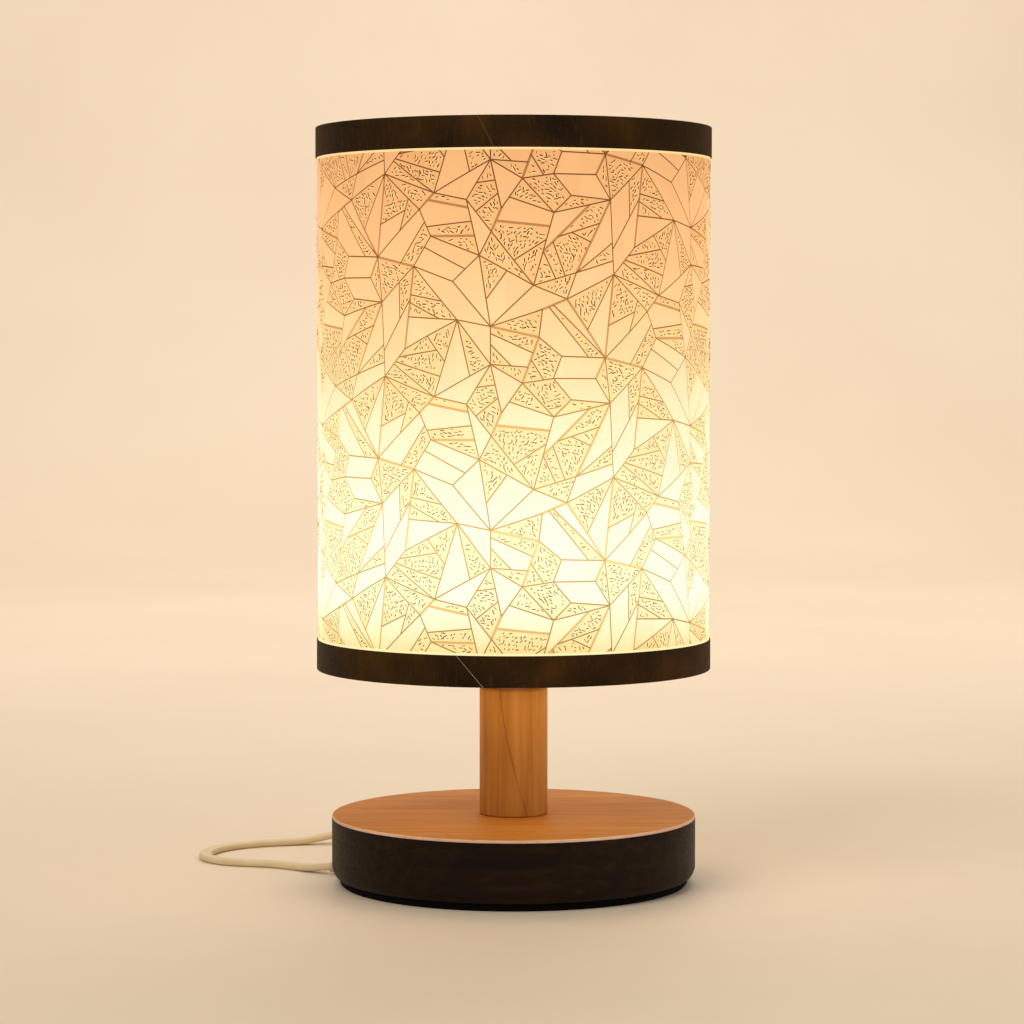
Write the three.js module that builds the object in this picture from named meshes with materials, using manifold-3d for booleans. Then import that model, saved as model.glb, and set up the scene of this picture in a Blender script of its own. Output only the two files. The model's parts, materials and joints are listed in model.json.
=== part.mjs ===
// Table lamp: a drum shade of embossed mosaic sheet on a short turned post and a round wooden base.
// Millimetres, +Z up. The origin is the middle of the foot pad's underside, and the lamp faces -Y.
import * as THREE from 'three';
import { mergeVertices } from 'three/addons/utils/BufferGeometryUtils.js';
import Module from 'manifold-3d';

const wasm = await Module();
wasm.setup();

// ---- Driving dimensions ---------------------------------------------------------------------

// Base
const baseDiameter = 139;
const baseHeight = 26.5;
const baseEdgeRadius = 6;
const baseEdgeSweep = 48;
const padThickness = 3;
const padInset = 3;
const veneerThickness = 1.5;
const veneerInset = 0.15;
const recessDiameter = 46;
const recessDepth = 13;

// Post
const postDiameter = 26;
const postLength = 49;
const postChamfer = 0.8;

// Threaded tube that clamps base, post and lamp holder together
const tubeDiameter = 10;
const tubeBore = 7;
const tubeProud = 1.8;
const tubePlay = 0.3;
const tubeTail = 1;
const threadPlay = 0.15;
const nutAcrossFlats = 16;
const nutThickness = 4;
const washerDiameter = 24;
const postWasherDiameter = 22;
const washerThickness = 1.2;

// Lamp holder
const holderCapProud = 0.6;
const holderCapHeight = 11.3;
const holderFloor = 3;
const holderWall = 2;
const holderLedge = 2.5;
const holderChamfer = 1.5;
const coreThickness = 3.5;
const coreHole = 8;
const coreBelowFlange = 1;
const flangeWidth = 2.4;
const flangeThickness = 3;
const barrelDiameter = 38.8;
const barrelHeight = 23.5;
const threadDepth = 0.4;
const threadPitch = 4;
const screwShellBore = 26.7;
const screwShellWall = 0.45;
const screwShellMouth = 17.6;
const screwShellHeight = 18;
const contactRise = 4.3;

// Bulb
const bulbDiameter = 35;
const bulbLength = 90;
const bulbCapDiameter = 26.1;
const bulbCapLength = 18.5;
const bulbCollarLength = 12;
const bulbWall = 1;

// Shade
const shadeDiameter = 150;
const shadeHeight = 205;
const sheetThickness = 1;
const bandWidth = 11.5;
const bandThickness = 0.5;
const bandTurnIn = 4;
const wireDiameter = 3.2;
const hubThickness = 1.6;
const hubWidth = 6.5;
const hubPlay = 0.6;
const fitterDrop = 8.5;
const armCount = 3;
const shadeRingHeight = 5.4;
const shadeRingWidth = 4.4;
const shadeRingPlay = 0.25;
const seamLap = 12;
const seamThickness = 0.4;

// Flat twin cord, its exit, switch and plug
const cordWidth = 5.2;
const cordThickness = 2.6;
const exitAngle = 165;
const reliefLength = 22;
const reliefProud = 3.5;
const reliefHeight = 2.9;
const reliefRootWall = 2.8;
const reliefTipWall = 1.7;
const reliefFlatness = 0.5;
const cordPlay = 0.2;
const switchLength = 56;
const switchWidth = 21;
const switchHeight = 14.5;
const switchSplit = 5.5;
const switchWall = 1.6;
const rockerTilt = 8;
const plugLength = 24;
const plugWidth = 22;
const plugHeight = 12.6;
const bladeSpacing = 12.7;
const bladeLength = 16;
const bootLength = 22;

// Gap between pieces that touch where one is cut by or turned against the other
const gap = 0.3;

// ---- Heights and radii that follow from them --------------------------------------------------

const baseRadius = baseDiameter / 2;
const bodyTop = baseHeight - veneerThickness;
const recessTop = padThickness + recessDepth;
const postTop = baseHeight + postLength;
const capBottom = postTop + washerThickness;
const capTop = capBottom + holderCapHeight;
const tubeTop = capBottom + holderFloor + tubeProud;
const tubeBottom = recessTop - washerThickness - nutThickness - tubeTail;
const tubeHole = tubeDiameter / 2 + tubePlay;
const threadHole = tubeDiameter / 2 + threadPlay;
const barrelRadius = barrelDiameter / 2;
const seatHeight = capTop + flangeThickness;
const barrelTop = seatHeight + barrelHeight;
const coreTop = seatHeight - coreBelowFlange;
const bulbBottom = coreTop + contactRise + gap;
const bulbTop = bulbBottom + bulbLength;
const shadeBottom = seatHeight - fitterDrop;
const shadeTop = shadeBottom + shadeHeight;
const sheetOuter = shadeDiameter / 2 - bandThickness;
const sheetInner = sheetOuter - sheetThickness;
const wireRadius = wireDiameter / 2;
const ringRadius = sheetInner - wireRadius - gap;
const ringInset = bandThickness + wireRadius + gap;
const hubRadius = barrelRadius + hubPlay + hubWidth;
const reliefRoot = cordWidth / 2 + reliefRootWall;
const reliefTip = cordWidth / 2 + reliefTipWall;
const reliefEnd = baseRadius + reliefProud;

// ---- Free cord: route points, chosen by hand ---------------------------------------------------

const cordRoute = [
  [-71.2, 19.1, 2.8], [-75.6, 20.8, 2.3], [-80.2, 24, 1.6], [-85.4, 28.6, 1.3], [-91.8, 32.8, 1.3],
  [-98.8, 35.8, 1.3], [-106, 37.4, 1.3], [-113, 40, 1.3], [-118.6, 44.6, 1.3], [-122.2, 50.6, 1.3],
  [-123.5, 57.6, 1.3], [-122.6, 65.4, 1.3], [-119.2, 73.4, 1.3], [-113.4, 80.6, 1.3],
  [-105.4, 86.2, 1.3], [-96, 89.8, 1.3], [-86, 92.2, 1.7], [-76, 94.2, 3.4], [-65.4, 95, 5.5],
];
const linkRoute = [[-8.6, 95, 5.5], [-2, 94.6, 4.8], [6, 92.7, 4.1], [16.4, 90.2, 3.9]];
const tailRoute = [[7.8, 148.9, 7.7], [5.8, 147.8, 6.9], [3.8, 147.1, 6.4], [1.6, 147, 6.3]];
const switchCentre = [-37, 95];
const coilCentre = [36.5, 122.6];
const coilRadius = 34.5;
const coilTurns = 4.25;
const coilBottom = 1.2;
const coilSlack = 0.2;
const tieThickness = 0.7;
const tieWidth = 6;
const bootTip = [1, 147];

// The coil's outer shape, from its middle radius and the turns beside and on each other
const coilOuter = coilRadius + cordThickness / 2 + coilSlack;
const coilInner = coilRadius - (coilTurns + 0.5) * cordThickness - coilSlack;
const coilTop = coilBottom + (cordWidth + coilSlack) * 2;

// ---- Building blocks ---------------------------------------------------------------------------

/** Keeps only positions, merges shared corners, drops empty triangles and turns the faces outward. */
function body(geometry) {
  const bare = new THREE.BufferGeometry();
  bare.setAttribute('position', geometry.getAttribute('position').clone());
  if (geometry.index) bare.setIndex(geometry.index.clone());
  const merged = mergeVertices(bare, 1e-3);
  const spots = merged.getAttribute('position');
  const corners = merged.index.array;
  const kept = [];
  const [a, b, c] = [new THREE.Vector3(), new THREE.Vector3(), new THREE.Vector3()];
  let volume = 0;
  for (let i = 0; i < corners.length; i += 3) {
    const [p, q, r] = corners.slice(i, i + 3);
    if (p === q || q === r || r === p) continue;
    kept.push([p, q, r]);
    a.fromBufferAttribute(spots, p);
    b.fromBufferAttribute(spots, q);
    c.fromBufferAttribute(spots, r);
    volume += a.dot(b.cross(c));
  }
  if (volume < 0) kept.forEach((triangle) => triangle.reverse());
  merged.setIndex(kept.flat());
  return merged;
}

/** Turns a profile of [radius, height] points about Z. A profile off the axis closes on itself. */
function turned(profile, segments = 24) {
  const points = profile.map(([radius, height]) => new THREE.Vector2(radius, height));
  if (profile[0][0] > 0) points.push(points[0].clone());
  return body(new THREE.LatheGeometry(points, segments).rotateX(Math.PI / 2));
}

/** A plain ring with a rectangular section. */
function ring(inner, outer, bottom, top, segments = 24) {
  return turned([[inner, bottom], [outer, bottom], [outer, top], [inner, top]], segments);
}

/** Points of an arc in a [radius, height] profile, angles in degrees. */
function arc(centreRadius, centreHeight, radius, from, to, steps) {
  const points = [];
  for (let i = 0; i <= steps; i += 1) {
    const angle = THREE.MathUtils.degToRad(from + ((to - from) * i) / steps);
    points.push([centreRadius + radius * Math.cos(angle), centreHeight + radius * Math.sin(angle)]);
  }
  return points;
}

/** A box given by its lowest and highest corners. */
function block(low, high) {
  const size = high.map((value, axis) => value - low[axis]);
  const middle = high.map((value, axis) => (value + low[axis]) / 2);
  return new THREE.BoxGeometry(...size).translate(...middle);
}

/** A cylinder along an axis, through a middle point. */
function rod(radius, length, axis, middle, segments = 12) {
  const geometry = new THREE.CylinderGeometry(radius, radius, length, segments);
  if (axis === 'x') geometry.rotateZ(Math.PI / 2);
  if (axis === 'z') geometry.rotateX(Math.PI / 2);
  return geometry.translate(...middle);
}

/** A flat outline raised along Z. */
function raised(shape, bottom, top, curveSegments = 4) {
  const options = { depth: top - bottom, bevelEnabled: false, curveSegments };
  return new THREE.ExtrudeGeometry(shape, options).translate(0, 0, bottom);
}

/** A rectangle with round corners, centred on a point. */
function roundedRectangle(length, width, corner, x = 0, y = 0) {
  const [right, top] = [length / 2 - corner, width / 2 - corner];
  const shape = new THREE.Shape();
  shape.absarc(x + right, y + top, corner, 0, Math.PI / 2);
  shape.absarc(x - right, y + top, corner, Math.PI / 2, Math.PI);
  shape.absarc(x - right, y - top, corner, Math.PI, Math.PI * 1.5);
  shape.absarc(x + right, y - top, corner, Math.PI * 1.5, Math.PI * 2);
  return shape;
}

/** The eight-sided section of the flat cord: its thickness lies along the path's normal. */
function cordSection(play = 0) {
  const [half, flat] = [cordThickness / 2 + play, cordWidth / 2 + play];
  const side = flat - half * 0.45;
  return new THREE.Shape([
    new THREE.Vector2(half, -side), new THREE.Vector2(half, side),
    new THREE.Vector2(half * 0.5, flat), new THREE.Vector2(-half * 0.5, flat),
    new THREE.Vector2(-half, side), new THREE.Vector2(-half, -side),
    new THREE.Vector2(-half * 0.5, -flat), new THREE.Vector2(half * 0.5, -flat),
  ]);
}

/** A round section with a given number of sides. */
function roundSection(radius, sides = 8) {
  const points = [];
  for (let i = 0; i < sides; i += 1) {
    const angle = (i * 2 * Math.PI) / sides;
    points.push(new THREE.Vector2(radius * Math.cos(angle), radius * Math.sin(angle)));
  }
  return new THREE.Shape(points);
}

/** Sweeps a section along a smooth curve through points. */
function swept(section, points, steps) {
  const curve = new THREE.CatmullRomCurve3(points.map((point) => new THREE.Vector3(...point)), false);
  return new THREE.ExtrudeGeometry(section, { steps, bevelEnabled: false, extrudePath: curve });
}

function solid(geometry) {
  const closed = body(geometry);
  const vertProperties = new Float32Array(closed.getAttribute('position').array);
  const triVerts = new Uint32Array(closed.index.array);
  return new wasm.Manifold(new wasm.Mesh({ numProp: 3, vertProperties, triVerts }));
}

function geometryOf(manifold) {
  const { vertProperties, triVerts } = manifold.getMesh();
  const geometry = new THREE.BufferGeometry();
  geometry.setAttribute('position', new THREE.BufferAttribute(vertProperties, 3));
  geometry.setIndex(new THREE.BufferAttribute(triVerts, 1));
  return geometry;
}

function cut(geometry, ...tools) {
  return geometryOf(tools.reduce((rest, tool) => rest.subtract(solid(tool)), solid(geometry)));
}

function joined(geometry, ...others) {
  return geometryOf(others.reduce((sum, other) => sum.add(solid(other)), solid(geometry)));
}

// ---- Materials ---------------------------------------------------------------------------------

function finish(color, roughness, metalness = 0) {
  return new THREE.MeshStandardMaterial({ color, roughness, metalness });
}

const lightWood = finish(0xc27a36, 0.5);
const darkWood = finish(0x33231a, 0.45);
const rubber = finish(0x0c0b0a, 0.85);
const darkBand = finish(0x3a2814, 0.55);
const mosaic = finish(0xffe2ae, 0.35);
const paper = finish(0xf2e3c4, 0.8);
const steel = finish(0xb9bcc0, 0.3, 1);
const brass = finish(0xc9a24a, 0.3, 1);
const whitePlastic = finish(0xf0ece2, 0.4);
const creamPlastic = finish(0xe9dcc0, 0.4);
const ceramic = finish(0xf4f1ea, 0.25);
const frosted = finish(0xfff6e2, 0.5);
const board = finish(0x2f6b3c, 0.5);

function part(name, geometry, material) {
  const mesh = new THREE.Mesh(body(geometry), material);
  mesh.name = name;
  return mesh;
}

/** A group of parts, moved to [x, y, z] and turned about Z by an angle in degrees. */
function placed(parts, [x, y, z] = [0, 0, 0], angle = 0) {
  const group = new THREE.Group();
  group.add(...parts);
  group.position.set(x, y, z);
  group.rotation.z = THREE.MathUtils.degToRad(angle);
  return group;
}

// ---- Base --------------------------------------------------------------------------------------

const grooveHalfWidth = reliefRoot + gap;
const grooveTop = reliefHeight + reliefRoot * reliefFlatness + gap;
const slotStart = recessDiameter / 2 - 4;

/** A radial slot from the middle of the base out through its rim, where the cord leaves. */
function exitSlot(from, bottom, top) {
  const slot = block([from, -grooveHalfWidth, bottom], [baseRadius + 1, grooveHalfWidth, top]);
  return slot.rotateZ(THREE.MathUtils.degToRad(exitAngle));
}

function footPad() {
  const rim = baseRadius - padInset;
  const disc = turned([[0, 0], [rim - 1, 0], [rim, 1], [rim, padThickness], [0, padThickness]], 48);
  return part('foot_pad', cut(disc, exitSlot(slotStart, -1, padThickness + 1)), rubber);
}

function baseBody() {
  const drop = baseEdgeRadius * Math.sin(THREE.MathUtils.degToRad(baseEdgeSweep));
  const edge = arc(
    baseRadius - baseEdgeRadius, padThickness + drop, baseEdgeRadius, -baseEdgeSweep, 0, 4,
  );
  const recess = recessDiameter / 2;
  const profile = [
    [recess, padThickness], ...edge, [baseRadius, bodyTop],
    [tubeHole, bodyTop], [tubeHole, recessTop], [recess, recessTop],
  ];
  const slot = exitSlot(slotStart, padThickness - 1, grooveTop);
  return part('base_body', cut(turned(profile, 48), slot), darkWood);
}

function baseTopDisc() {
  const disc = ring(tubeHole, baseRadius - veneerInset, bodyTop, baseHeight, 48);
  return part('base_top_disc', disc, lightWood);
}

// ---- Post and threaded tube ---------------------------------------------------------------------

function post() {
  const outer = postDiameter / 2;
  const profile = [
    [tubeHole, baseHeight], [outer - postChamfer / 2, baseHeight], [outer, baseHeight + postChamfer / 2],
    [outer, postTop - postChamfer], [outer - postChamfer, postTop], [tubeHole, postTop],
  ];
  return part('post', turned(profile, 32), lightWood);
}

function hexagonNut(name, bottom) {
  const shape = roundSection(nutAcrossFlats / Math.sqrt(3), 6);
  shape.holes.push(roundSection(threadHole, 16));
  return part(name, raised(shape, bottom, bottom + nutThickness), steel);
}

function tubeAndNut() {
  const washerBottom = recessTop - washerThickness;
  return [
    part('threaded_tube', ring(tubeBore / 2, tubeDiameter / 2, tubeBottom, tubeTop, 20), steel),
    part('base_washer', ring(threadHole, washerDiameter / 2, washerBottom, recessTop, 20), steel),
    hexagonNut('base_lock_nut', washerBottom - nutThickness),
    part('post_washer', ring(threadHole, postWasherDiameter / 2, postTop, capBottom, 20), steel),
  ];
}

// ---- Lamp holder ---------------------------------------------------------------------------------

const coreRadius = barrelRadius - holderWall - gap;
const coreBottom = coreTop - coreThickness;
const terminalReach = 9;
const terminalRadius = 2.4;

function holderCap() {
  const outer = barrelRadius + holderCapProud;
  const ledge = coreRadius - holderLedge;
  const profile = [
    [threadHole, capBottom], [outer - holderChamfer, capBottom], [outer, capBottom + holderChamfer],
    [outer, capTop], [coreRadius + gap, capTop], [coreRadius + gap, coreBottom], [ledge, coreBottom],
    [ledge, capBottom + holderFloor], [threadHole, capBottom + holderFloor],
  ];
  return part('holder_cap', turned(profile, 24), whitePlastic);
}

/** The barrel carries grooves for the ring nut: their crests keep the barrel's diameter. */
function holderBarrel() {
  const inner = barrelRadius - holderWall;
  const grooves = [];
  for (let z = seatHeight + threadPitch; z < barrelTop - threadPitch; z += threadPitch) {
    grooves.push([barrelRadius, z - 0.6], [barrelRadius - threadDepth, z], [barrelRadius, z + 0.6]);
  }
  const profile = [
    [inner, capTop], [barrelRadius + flangeWidth, capTop], [barrelRadius + flangeWidth, seatHeight],
    [barrelRadius, seatHeight], ...grooves, [barrelRadius, barrelTop - 0.8], [barrelRadius - 0.8, barrelTop],
    [inner, barrelTop],
  ];
  return part('holder_barrel', turned(profile, 24), whitePlastic);
}

function holderCore() {
  return part('holder_core', ring(coreHole / 2, coreRadius, coreBottom, coreTop, 24), ceramic);
}

function screwShell() {
  const bore = screwShellBore / 2;
  const [outer, mouth] = [bore + screwShellWall, screwShellMouth / 2];
  const profile = [
    [mouth, coreTop], [outer, coreTop], [outer, coreTop + screwShellHeight],
    [bore, coreTop + screwShellHeight], [bore, coreTop + screwShellWall], [mouth, coreTop + screwShellWall],
  ];
  return part('screw_shell', turned(profile, 24), brass);
}

/** A bent strip: its foot lies on the core and its tongue rises under the bulb's contact. */
function centreContact() {
  const thick = 0.5;
  const tongue = coreTop + contactRise;
  const outline = new THREE.Shape([
    new THREE.Vector2(-8, coreTop), new THREE.Vector2(-4.6, coreTop),
    new THREE.Vector2(-1.5, tongue - thick), new THREE.Vector2(3, tongue - thick),
    new THREE.Vector2(3, tongue), new THREE.Vector2(-1.8, tongue),
    new THREE.Vector2(-4.9, coreTop + thick), new THREE.Vector2(-8, coreTop + thick),
  ]);
  const strip = raised(outline, -2.5, 2.5).rotateX(Math.PI / 2);
  return part('centre_contact', strip, brass);
}

function terminalScrew(name, side) {
  const low = coreBottom - 1.8;
  const head = turned([[0, low], [terminalRadius, low], [terminalRadius, coreBottom], [0, coreBottom]], 12);
  const slot = block([-3, -0.4, low - 1], [3, 0.4, low + 0.7]);
  return part(name, cut(head, slot).translate(side * terminalReach, 0, 0), brass);
}

/** A bare core of the cord, bent from the tube's mouth to its terminal. */
function lead(name, side) {
  const height = coreBottom - 1;
  const points = [
    [side * 1.3, 0, tubeTop + gap], [side * 1.6, 0, tubeTop + 1.6],
    [side * 3.6, 0, height], [side * (terminalReach - terminalRadius - gap), 0, height],
  ];
  return part(name, swept(roundSection(0.75, 6), points, 8), creamPlastic);
}

function lampHolder() {
  return [
    holderCap(), holderBarrel(), holderCore(), screwShell(), centreContact(),
    terminalScrew('terminal_screw_live', 1), terminalScrew('terminal_screw_neutral', -1),
    lead('lead_live', 1), lead('lead_neutral', -1),
  ];
}

// ---- Bulb ----------------------------------------------------------------------------------------

const capRadius = bulbCapDiameter / 2;
const capBase = bulbBottom + 4;
const capRim = capBase + bulbCapLength;
const collarTop = capRim + bulbCollarLength;
const collarHollow = 8;

function bulbContact() {
  const top = bulbBottom + 1.4;
  return part('bulb_contact', turned([[0, bulbBottom], [3.5, bulbBottom], [4.8, top], [0, top]], 16), brass);
}

function bulbInsulator() {
  const low = bulbBottom + 1.4;
  const profile = [[0, low], [5, low], [capRadius - 2.4, capBase], [0, capBase]];
  return part('bulb_insulator', turned(profile, 24), rubber);
}

/** The cap's thread is drawn as rounded ridges at the standard pitch. */
function bulbScrewCap() {
  const pitch = 3.6;
  const ridges = [];
  for (let z = capBase + 1.6; z < capRim - 2.6; z += pitch) {
    ridges.push([capRadius - 1, z], [capRadius, z + pitch / 2]);
  }
  const inner = capRadius - 1.5;
  const profile = [
    [collarHollow, capBase], [capRadius - 2.4, capBase], ...ridges, [capRadius - 0.4, capRim],
    [inner, capRim], [inner, capBase + 0.6], [collarHollow, capBase + 0.6],
  ];
  return part('bulb_screw_cap', turned(profile, 24), steel);
}

function bulbCollar() {
  const skirt = capRadius - 1.5 - 0.1;
  const shoulder = bulbDiameter / 2 - 1.2;
  const profile = [
    [collarHollow, capRim - 5], [skirt, capRim - 5], [skirt, capRim], [capRadius, capRim],
    [capRadius + 0.4, capRim + 1.5], [shoulder - 1, collarTop - 2.5], [shoulder, collarTop],
    [collarHollow, collarTop],
  ];
  return part('bulb_collar', turned(profile, 24), whitePlastic);
}

/** Frosted envelope: straight-sided above the collar, then closed by a rounded dome. */
function bulbGlobe() {
  const outer = bulbDiameter / 2;
  const domeBase = bulbTop - outer;
  const inside = arc(0, domeBase, outer - bulbWall, 90, 0, 6);
  const outside = arc(0, domeBase, outer, 0, 90, 6);
  inside[0][0] = 0;
  outside[outside.length - 1][0] = 0;
  const profile = [
    ...inside, [outer - 1 - bulbWall, collarTop], [outer - 1.2, collarTop],
    [outer - 0.2, collarTop + 8], ...outside,
  ];
  return part('bulb_globe', turned(profile, 24), frosted);
}

function bulbElectronics() {
  const boardTop = collarTop + 1.6;
  const disc = turned([[0, collarTop], [14, collarTop], [14, boardTop], [0, boardTop]], 20);
  const driver = block([-6, -0.8, capBase + 2], [6, 0.8, collarTop - gap]);
  return [part('led_board', disc, steel), part('driver_board', driver, board)];
}

function bulb() {
  return [
    bulbContact(), bulbInsulator(), bulbScrewCap(), bulbCollar(), bulbGlobe(), ...bulbElectronics(),
  ];
}

// ---- Shade ---------------------------------------------------------------------------------------

function shadeSheet() {
  const [low, high] = [shadeBottom + bandThickness, shadeTop - bandThickness];
  return part('shade_sheet', ring(sheetInner, sheetOuter, low, high, 48), mosaic);
}

/** A band glued round the sheet and turned in over its edge, up or down. */
function band(name, edge, direction) {
  const inner = shadeDiameter / 2 - bandTurnIn;
  const profile = [
    [inner, edge], [shadeDiameter / 2, edge], [shadeDiameter / 2, edge + direction * bandWidth],
    [sheetOuter, edge + direction * bandWidth], [sheetOuter, edge + direction * bandThickness],
    [inner, edge + direction * bandThickness],
  ];
  return part(name, turned(profile, 48), darkBand);
}

function wireRing(name, height) {
  const section = [];
  for (let i = 0; i < 6; i += 1) {
    const angle = (i * Math.PI) / 3 + Math.PI / 6;
    section.push([ringRadius + wireRadius * Math.cos(angle), height + wireRadius * Math.sin(angle)]);
  }
  return part(name, turned(section, 40), steel);
}

function seamTape() {
  const [low, high] = [shadeBottom + ringInset * 2 + 0.5, shadeTop - ringInset * 2 - 0.5];
  const half = seamLap / 2 / sheetInner;
  const [from, to] = [Math.PI / 2 - half, Math.PI / 2 + half];
  const shape = new THREE.Shape();
  shape.absarc(0, 0, sheetInner - gap, from, to);
  shape.absarc(0, 0, sheetInner - gap - seamThickness, to, from, true);
  return part('seam_tape', raised(shape, low, high), paper);
}

function fitterHub() {
  const hub = ring(barrelRadius + hubPlay, hubRadius, seatHeight, seatHeight + hubThickness, 32);
  return part('fitter_hub', hub, steel);
}

/** A wire arm that leaves the hub level and bends down to the bottom ring. */
function fitterArm(index) {
  const [start, end] = [hubRadius + gap + wireRadius * 0.2, ringRadius - wireRadius - gap];
  const level = seatHeight + hubThickness / 2;
  const low = shadeBottom + ringInset;
  const bend = end - 13;
  const points = [
    [start, 0, level], [bend - 8, 0, level], [bend, 0, level - 0.8], [end - 4, 0, low + 0.4], [end, 0, low],
  ];
  const arm = part(`fitter_arm_${index + 1}`, swept(roundSection(wireRadius * 0.9), points, 10), steel);
  return placed([arm], [0, 0, 0], 90 + (index * 360) / armCount);
}

function shade() {
  const arms = Array.from({ length: armCount }, (_, index) => fitterArm(index));
  return [
    shadeSheet(), band('bottom_band', shadeBottom, 1), band('top_band', shadeTop, -1),
    wireRing('bottom_ring', shadeBottom + ringInset), wireRing('top_ring', shadeTop - ringInset),
    seamTape(), fitterHub(), ...arms,
  ];
}

/** The ring nut that clamps the fitter on the barrel, with grip scallops round its rim. */
function shadeRingNut() {
  const bore = barrelRadius + shadeRingPlay;
  const outer = bore + shadeRingWidth;
  const scallops = 20;
  const points = [];
  for (let i = 0; i < scallops * 2; i += 1) {
    const angle = (i * Math.PI) / scallops;
    const radius = i % 2 ? outer - 0.8 : outer;
    points.push(new THREE.Vector2(radius * Math.cos(angle), radius * Math.sin(angle)));
  }
  const shape = new THREE.Shape(points);
  shape.holes.push(roundSection(bore / Math.cos(Math.PI / 32), 32));
  const low = seatHeight + hubThickness;
  return part('shade_ring_nut', raised(shape, low, low + shadeRingHeight), whitePlastic);
}

// ---- Cord inside the lamp, and its exit ------------------------------------------------------------

/** A tapered oval grommet round the cord, along +X. */
function strainRelief() {
  const taper = new THREE.CylinderGeometry(reliefTip, reliefRoot, reliefLength, 16).rotateZ(-Math.PI / 2);
  taper.scale(1, 1, reliefFlatness).translate(reliefEnd - reliefLength / 2, 0, reliefHeight);
  const [along, wide, high] = [reliefEnd + 1, cordWidth / 2 + cordPlay, cordThickness / 2 + cordPlay];
  const low = [reliefEnd - reliefLength - 1, -wide, reliefHeight - high];
  return part('strain_relief', cut(taper, block(low, [along, wide, reliefHeight + high])), creamPlastic);
}

/** The cord from the grommet, under the base, and up through the threaded tube. */
function innerCord() {
  const bendHeight = tubeBottom - 3.6;
  const recess = recessDiameter / 2;
  const points = [
    [reliefEnd, 0, reliefHeight], [reliefEnd - reliefLength, 0, reliefHeight],
    [recess + 16, 0, reliefHeight], [recess + 1, 0, reliefHeight + 1.1], [recess - 8, 0, bendHeight - 1],
    [7, 0, bendHeight], [2.2, 0, bendHeight + 1.9], [0.4, 0, bendHeight + 5.4], [0, 0, bendHeight + 12],
    [0, 0, postTop - 20], [0, 0, tubeTop],
  ];
  return part('inner_cord', swept(cordSection(), points, 36), creamPlastic);
}

// ---- Free cord ---------------------------------------------------------------------------------------

/** The coil's outer shape: two layers of turns, wound in and back out. */
function cordCoil() {
  const [x, y] = coilCentre;
  const outline = ring(coilInner, coilOuter, coilBottom, coilTop, 40);
  return part('cord_coil', outline.translate(x, y, 0), creamPlastic);
}

function coilTie() {
  const [x, y] = coilCentre;
  const [near, far] = [x - coilOuter - gap, x - coilInner + gap];
  const [low, high] = [coilBottom - gap, coilTop + gap];
  const half = tieWidth / 2;
  const wrap = block(
    [near - tieThickness, y - half, low - tieThickness], [far + tieThickness, y + half, high + tieThickness],
  );
  return part('coil_tie', cut(wrap, block([near, y - half - 1, low], [far, y + half + 1, high])), rubber);
}

function freeCord() {
  return [
    part('cord_run', swept(cordSection(), cordRoute, 26), creamPlastic),
    part('cord_link', swept(cordSection(), linkRoute, 4), creamPlastic),
    part('cord_tail', swept(cordSection(), tailRoute, 3), creamPlastic),
    cordCoil(), coilTie(),
  ];
}

// ---- Inline switch -------------------------------------------------------------------------------------

const pivotHeight = 9.9;
const ribInner = 4.9;
const ribThickness = 1.8;
const rockerLength = 15.4;
const rockerWidth = 9.4;
const roofThickness = 2;
const bossRadius = 2.8;
const bosses = [[-19.5, 5.8], [19.5, -5.8]];
const screwRadius = 1.2;

function switchOutline(inset, withBosses) {
  const outline = roundedRectangle(switchLength - inset * 2, switchWidth - inset * 2, 6 - inset);
  if (withBosses) {
    bosses.forEach(([x, y]) => {
      const boss = new THREE.Path();
      boss.absarc(x, y, bossRadius, 0, Math.PI * 2);
      outline.holes.push(boss);
    });
  }
  return outline;
}

function cordPassage() {
  const [wide, high] = [cordWidth / 2 + gap, cordThickness / 2 + gap];
  return block([-switchLength, -wide, switchSplit - high], [switchLength, wide, switchSplit + high]);
}

function switchLowerShell() {
  const shell = raised(switchOutline(0, false), 0, switchSplit);
  const hollow = raised(switchOutline(switchWall, true), switchWall, switchSplit + 1);
  const screwHoles = bosses.flatMap(([x, y]) => [
    rod(screwRadius + gap, 20, 'z', [x, y, 5]), rod(2.2 + gap, 2.4, 'z', [x, y, 0]),
  ]);
  return part('switch_lower_shell', cut(shell, hollow, cordPassage(), ...screwHoles), creamPlastic);
}

function switchUpperShell() {
  const roof = switchHeight - roofThickness;
  const shell = raised(switchOutline(0, false), switchSplit, switchHeight);
  const hollow = raised(switchOutline(switchWall, true), switchSplit - 1, roof);
  const window = block(
    [-rockerLength / 2 - 1, -rockerWidth / 2 - 0.4, switchSplit],
    [rockerLength / 2 + 1, rockerWidth / 2 + 0.4, switchHeight + 1],
  );
  const screwHoles = bosses.map(([x, y]) => rod(screwRadius + gap, 14, 'z', [x, y, 4]));
  const opened = cut(shell, hollow, cordPassage(), window, ...screwHoles);
  const ribs = [-1, 1].map((side) => {
    const [near, far] = [side * ribInner, side * (ribInner + ribThickness)];
    return block([-3.4, Math.min(near, far), pivotHeight - 3], [3.4, Math.max(near, far), roof + 0.5]);
  });
  const bearing = rod(1.4 + 0.15, switchWidth - switchWall * 2 - 1, 'y', [0, 0, pivotHeight], 16);
  return part('switch_upper_shell', cut(joined(opened, ...ribs), bearing), creamPlastic);
}

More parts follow.
